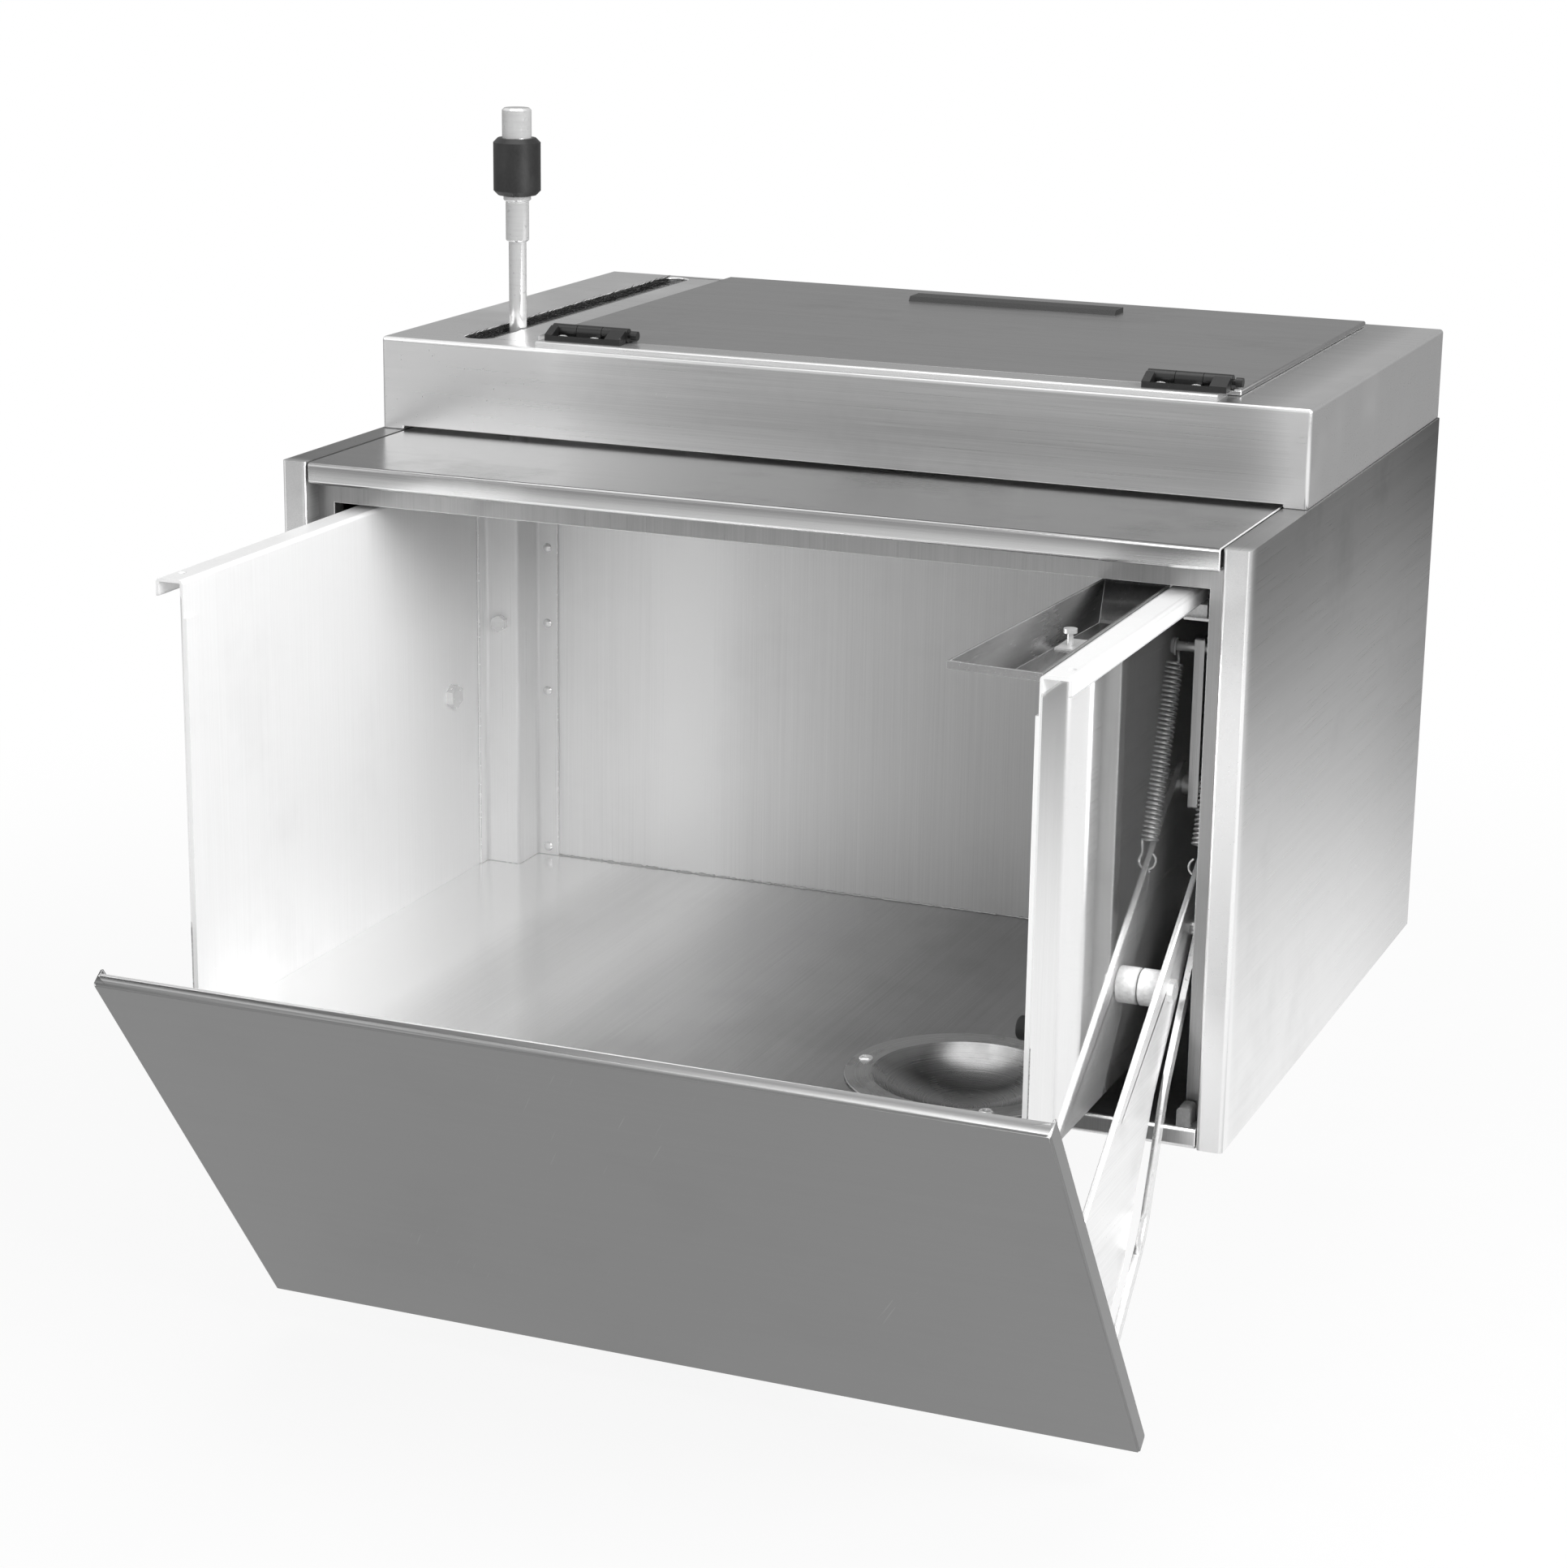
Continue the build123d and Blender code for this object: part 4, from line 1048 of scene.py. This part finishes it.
@dataclass
class WeldBead:
    """Uneven line of weld along the foot of the drawer's back wall."""

    y: float = 160.5
    z: float = 50.8
    ends: tuple[float, float] = (-184.0, 208.0)
    radius: float = 0.55
    step: float = 1.1
    swell: tuple[float, float] = (0.25, 1.5)
    sides: int = 7
    seed: int = 5

    def build(self) -> bpy.types.Object:
        """Sweep the bead with an uneven thickness."""
        tree = GeometryTree(
            "weld_bead_sweep", {"Radius": self.radius * MM, "Step": self.step * MM}
        )
        curve = tree.node("GeometryNodeMeshToCurve", None, {"Mesh": tree.given("Geometry")})
        fine = tree.node(
            "GeometryNodeResampleCurve", {"mode": "LENGTH"},
            {"Curve": curve, "Length": tree.given("Step")}
        )
        spot = tree.node(
            "FunctionNodeRandomValue", {"data_type": "FLOAT"},
            {"Min_001": self.swell[0], "Max_001": self.swell[1], "Seed": self.seed}, "Value_001"
        )
        sized = tree.node("GeometryNodeSetCurveRadius", None, {"Curve": fine, "Radius": spot})
        tree.close(tree.tube(sized, self.sides, tree.given("Radius"), spot))
        line = [place(x, self.y, self.z) for x in self.ends]
        piece = tree.grow("weld_bead", line_mesh(line), Finishes.weld.material())
        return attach(piece, "drawer")


@dataclass
class Drawer:
    """The sliding box with its post, bolts, rivets and bumper."""

    wall_edge: float = 0.35
    floor_edge: float = 0.3

    def build(self) -> None:
        """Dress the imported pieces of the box."""
        edge = Finishes.edge.material()
        dress(both("drawer_side"), Finishes.wall.material(), edge, self.wall_edge)
        dress(["drawer_back"], Finishes.back.material(), edge, self.wall_edge)
        dress(["corner_post"], Finishes.post.material(), edge, self.wall_edge)
        dress(["drawer_floor"], Finishes.floor.material(), edge, self.floor_edge)
        dress(["post_rivets", "post_bolt"], Finishes.fixing.material())
        dress(both("pivot_bolt") + both("spring_peg"), Finishes.fixing.material())
        dress(both("spring_bracket"), Finishes.bracket.material())
        dress(["door_bumper"], Finishes.rubber.material())
        WeldBead().build()
        for side in (1, -1):
            WireSpring(side).build()


@dataclass
class SideTray:
    """Small parts tray let into the right rim, with its clip and stud."""

    rim_edge: float = 0.3

    def build(self) -> None:
        """Dress the tray."""
        edge = Finishes.edge.material()
        dress(["side_tray"], Finishes.tray.material(), edge, self.rim_edge)
        dress(["tray_clip"], Finishes.arm.material())
        dress(["tray_stud"], Finishes.fixing.material())


@dataclass
class CoinCup:
    """Pressed dish in the floor, held by three screws."""

    centre: tuple[float, float] = (150.5, -79.0)
    circle: float = 50.0
    angles: tuple[float, ...] = (60.0, 180.0, 300.0)
    top: float = 51.7
    tone: float = 0.40
    seed: int = 8
    screw: ScrewHead = field(default_factory=lambda: ScrewHead(3.4, 1.5))

    def build(self) -> bpy.types.Object:
        """Dress the dish and set its screws."""
        dress(["coin_cup"], SpunSteel("cup_steel", self.tone, self.centre).material())
        places = [
            (self.centre[0] + self.circle * math.cos(math.radians(a)),
             self.centre[1] + self.circle * math.sin(math.radians(a)), self.top)
            for a in self.angles
        ]
        row = HeadRow("cup_screw_heads", places, (0.0, 0.0, 1.0), self.screw, self.seed)
        return row.build("drawer", "coin_cup_screws", Finishes.fixing.material())


@dataclass
class Lever:
    """Upright lever: rod, sleeve, grip, tip and the saddles that hold it."""

    def build(self) -> None:
        """Dress the lever."""
        dress(["lever_rod", "lever_sleeve", "lever_tip"], Finishes.rod.material())
        dress(["lever_grip"], Finishes.grip.material())
        dress(["lever_saddles"], Finishes.black.material())


@dataclass
class Door:
    """Tipping front door with its arms, cam bars and rollers."""

    front_edge: float = 0.9
    liner_edge: float = 0.3
    arm_edge: float = 0.35
    bar_edge: float = 0.3

    def build(self) -> None:
        """Dress the door and its linkage."""
        edge = Finishes.edge.material()
        dress(["door_front"], Finishes.door.material(), edge, self.front_edge)
        dress(["door_liner"], Finishes.liner.material(), edge, self.liner_edge)
        dress(both("door_arm"), Finishes.arm.material(), edge, self.arm_edge)
        dress(both("cam_bar"), Finishes.bar.material(), edge, self.bar_edge)
        dress(["arm_screws"] + both("roller_screw"), Finishes.fixing.material())
        dress(both("door_roller"), Finishes.nylon.material())


# ---- studio ----------------------------------------------------------------------------
@dataclass
class Lamp:
    """A soft square lamp that looks at the drawer."""

    name: str
    spot: Point
    power: float
    size: float
    aim: Point = (0.0, -0.05, 0.15)

    def build(self) -> None:
        """Hang the lamp."""
        data = bpy.data.lights.new(self.name, "AREA")
        data.energy = self.power
        data.size = self.size
        lamp = bpy.data.objects.new(self.name, data)
        bpy.context.scene.collection.objects.link(lamp)
        lamp.location = self.spot
        toward = Vector(self.aim) - lamp.location
        lamp.rotation_euler = toward.to_track_quat("-Z", "Y").to_euler()


@dataclass
class Studio:
    """Camera, lamps, world and floor."""

    camera_spot: Point = (0.6640, -1.7663, 0.6355)
    right: Point = (0.92440, 0.38118, 0.01344)
    up: Point = (-0.1156, 0.2464, 0.9623)
    lens: float = 82.30
    sensor: float = 36.0
    farthest: float = 60.0
    upper_dim: float = 0.2
    rear_dim: float = 0.58
    soft_light: float = 0.62
    floor_height: float = -0.16
    floor_radius: float = 16.0
    paper_tones: tuple[float, float] = (0.78, 0.84)
    mirrored_tones: tuple[float, float] = (0.85, 0.22)
    mirrored_middle: float = -0.7
    mirrored_share: float = 0.85
    near_white: float = 0.88
    lamps: tuple[Lamp, ...] = (
        Lamp("key", (1.75, -1.0, 1.25), 42.0, 1.3),
        Lamp("fill", (-1.9, -1.6, 1.2), 7.0, 1.8),
        Lamp("top", (-0.1, -0.2, 2.4), 14.0, 1.8),
    )

    def build(self) -> None:
        """Set up the whole studio."""
        self.camera()
        self.world()
        self.floor()
        for lamp in self.lamps:
            lamp.build()
        bpy.context.scene.view_settings.view_transform = "Standard"

    def camera(self) -> None:
        """Stand the camera where the photograph was taken from."""
        right = Vector(self.right).normalized()
        back = right.cross(Vector(self.up)).normalized()
        up = back.cross(right)
        turn = Matrix((right, up, back)).transposed().to_4x4()
        data = bpy.data.cameras.new("camera")
        data.lens = self.lens
        data.sensor_width = self.sensor
        data.sensor_fit = "HORIZONTAL"
        data.clip_end = self.farthest
        camera = bpy.data.objects.new("camera", data)
        bpy.context.scene.collection.objects.link(camera)
        camera.matrix_world = Matrix.Translation(self.camera_spot) @ turn
        bpy.context.scene.camera = camera

    def world(self) -> None:
        """White behind the drawer, and a soft light room for its reflections."""
        world = bpy.data.worlds.new("studio")
        bpy.context.scene.world = world
        world.use_nodes = True
        room = NodeGroup(world.node_tree)
        room.tree.nodes.clear()
        mirrored = room.ray("Glossy")
        way = room.node("ShaderNodeTexCoord", output="Generated")
        height = room.node("ShaderNodeSeparateXYZ", None, {0: way}, 2)
        backward = room.node("ShaderNodeSeparateXYZ", None, {0: way}, 1)
        glow = (
            1.0 - height.above(0.25, 0.95) * self.upper_dim
            - backward.above(0.2, 0.85) * self.rear_dim
        )
        white = room.ray("Camera").math("MAXIMUM", room.ray("Transmission"))
        light = mirrored * glow + (1.0 - mirrored) * self.soft_light
        strength = white + (1.0 - white) * light
        sky = room.node("ShaderNodeBackground", None, {"Strength": strength})
        room.node("ShaderNodeOutputWorld", None, {"Surface": sky})

    def floor(self) -> None:
        """Pale floor that keeps a faint shadow and fades to white."""
        build = bmesh.new()
        bmesh.ops.create_circle(build, cap_ends=True, radius=self.floor_radius, segments=64)
        bmesh.ops.translate(build, vec=(0, 0, self.floor_height), verts=build.verts)
        mesh = bpy.data.meshes.new("floor")
        build.to_mesh(mesh)
        build.free()
        floor = new_object("floor", mesh)
        surface = Surface("floor_paper")
        x, y = surface.axis(0), surface.axis(1)
        far = (x * x + y * y).math("SQRT").above(0.45, 1.3)
        ahead = y - self.mirrored_middle
        edge = (x * x + ahead * ahead).math("SQRT").above(1.2, 2.2)
        paper = surface.noise((30.0, 30.0, 30.0), 3.0)
        matt = surface.node(
            "ShaderNodeBsdfDiffuse", None, {"Color": surface.blend(paper, *self.paper_tones)}
        )
        white = surface.node("ShaderNodeEmission", None, {"Strength": 1.0})
        grey = surface.node(
            "ShaderNodeEmission", None, {"Color": surface.blend(edge, *self.mirrored_tones)}
        )
        shown = surface.ray("Camera").math("MAXIMUM", surface.ray("Transmission"))
        shown = shown * (far * (1.0 - self.near_white) + self.near_white)
        mirrored = surface.ray("Glossy") * self.mirrored_share
        mixed = surface.node("ShaderNodeMixShader", None, {0: shown, 1: matt, 2: white})
        mixed = surface.node("ShaderNodeMixShader", None, {0: mirrored, 1: mixed, 2: grey})
        surface.node("ShaderNodeOutputMaterial", None, {"Surface": mixed})
        mesh.materials.append(surface.material)


def main() -> None:
    """Build the studio and every sub-assembly in turn, logging each one."""
    housing = Housing()
    for part in (
        Studio(), housing, SlotBrush(), Lid(housing), Drawer(), SideTray(), CoinCup(), Lever(),
        Door()
    ):
        part.build()
        log.info("%s built", type(part).__name__)


if __name__ == "__main__":
    main()
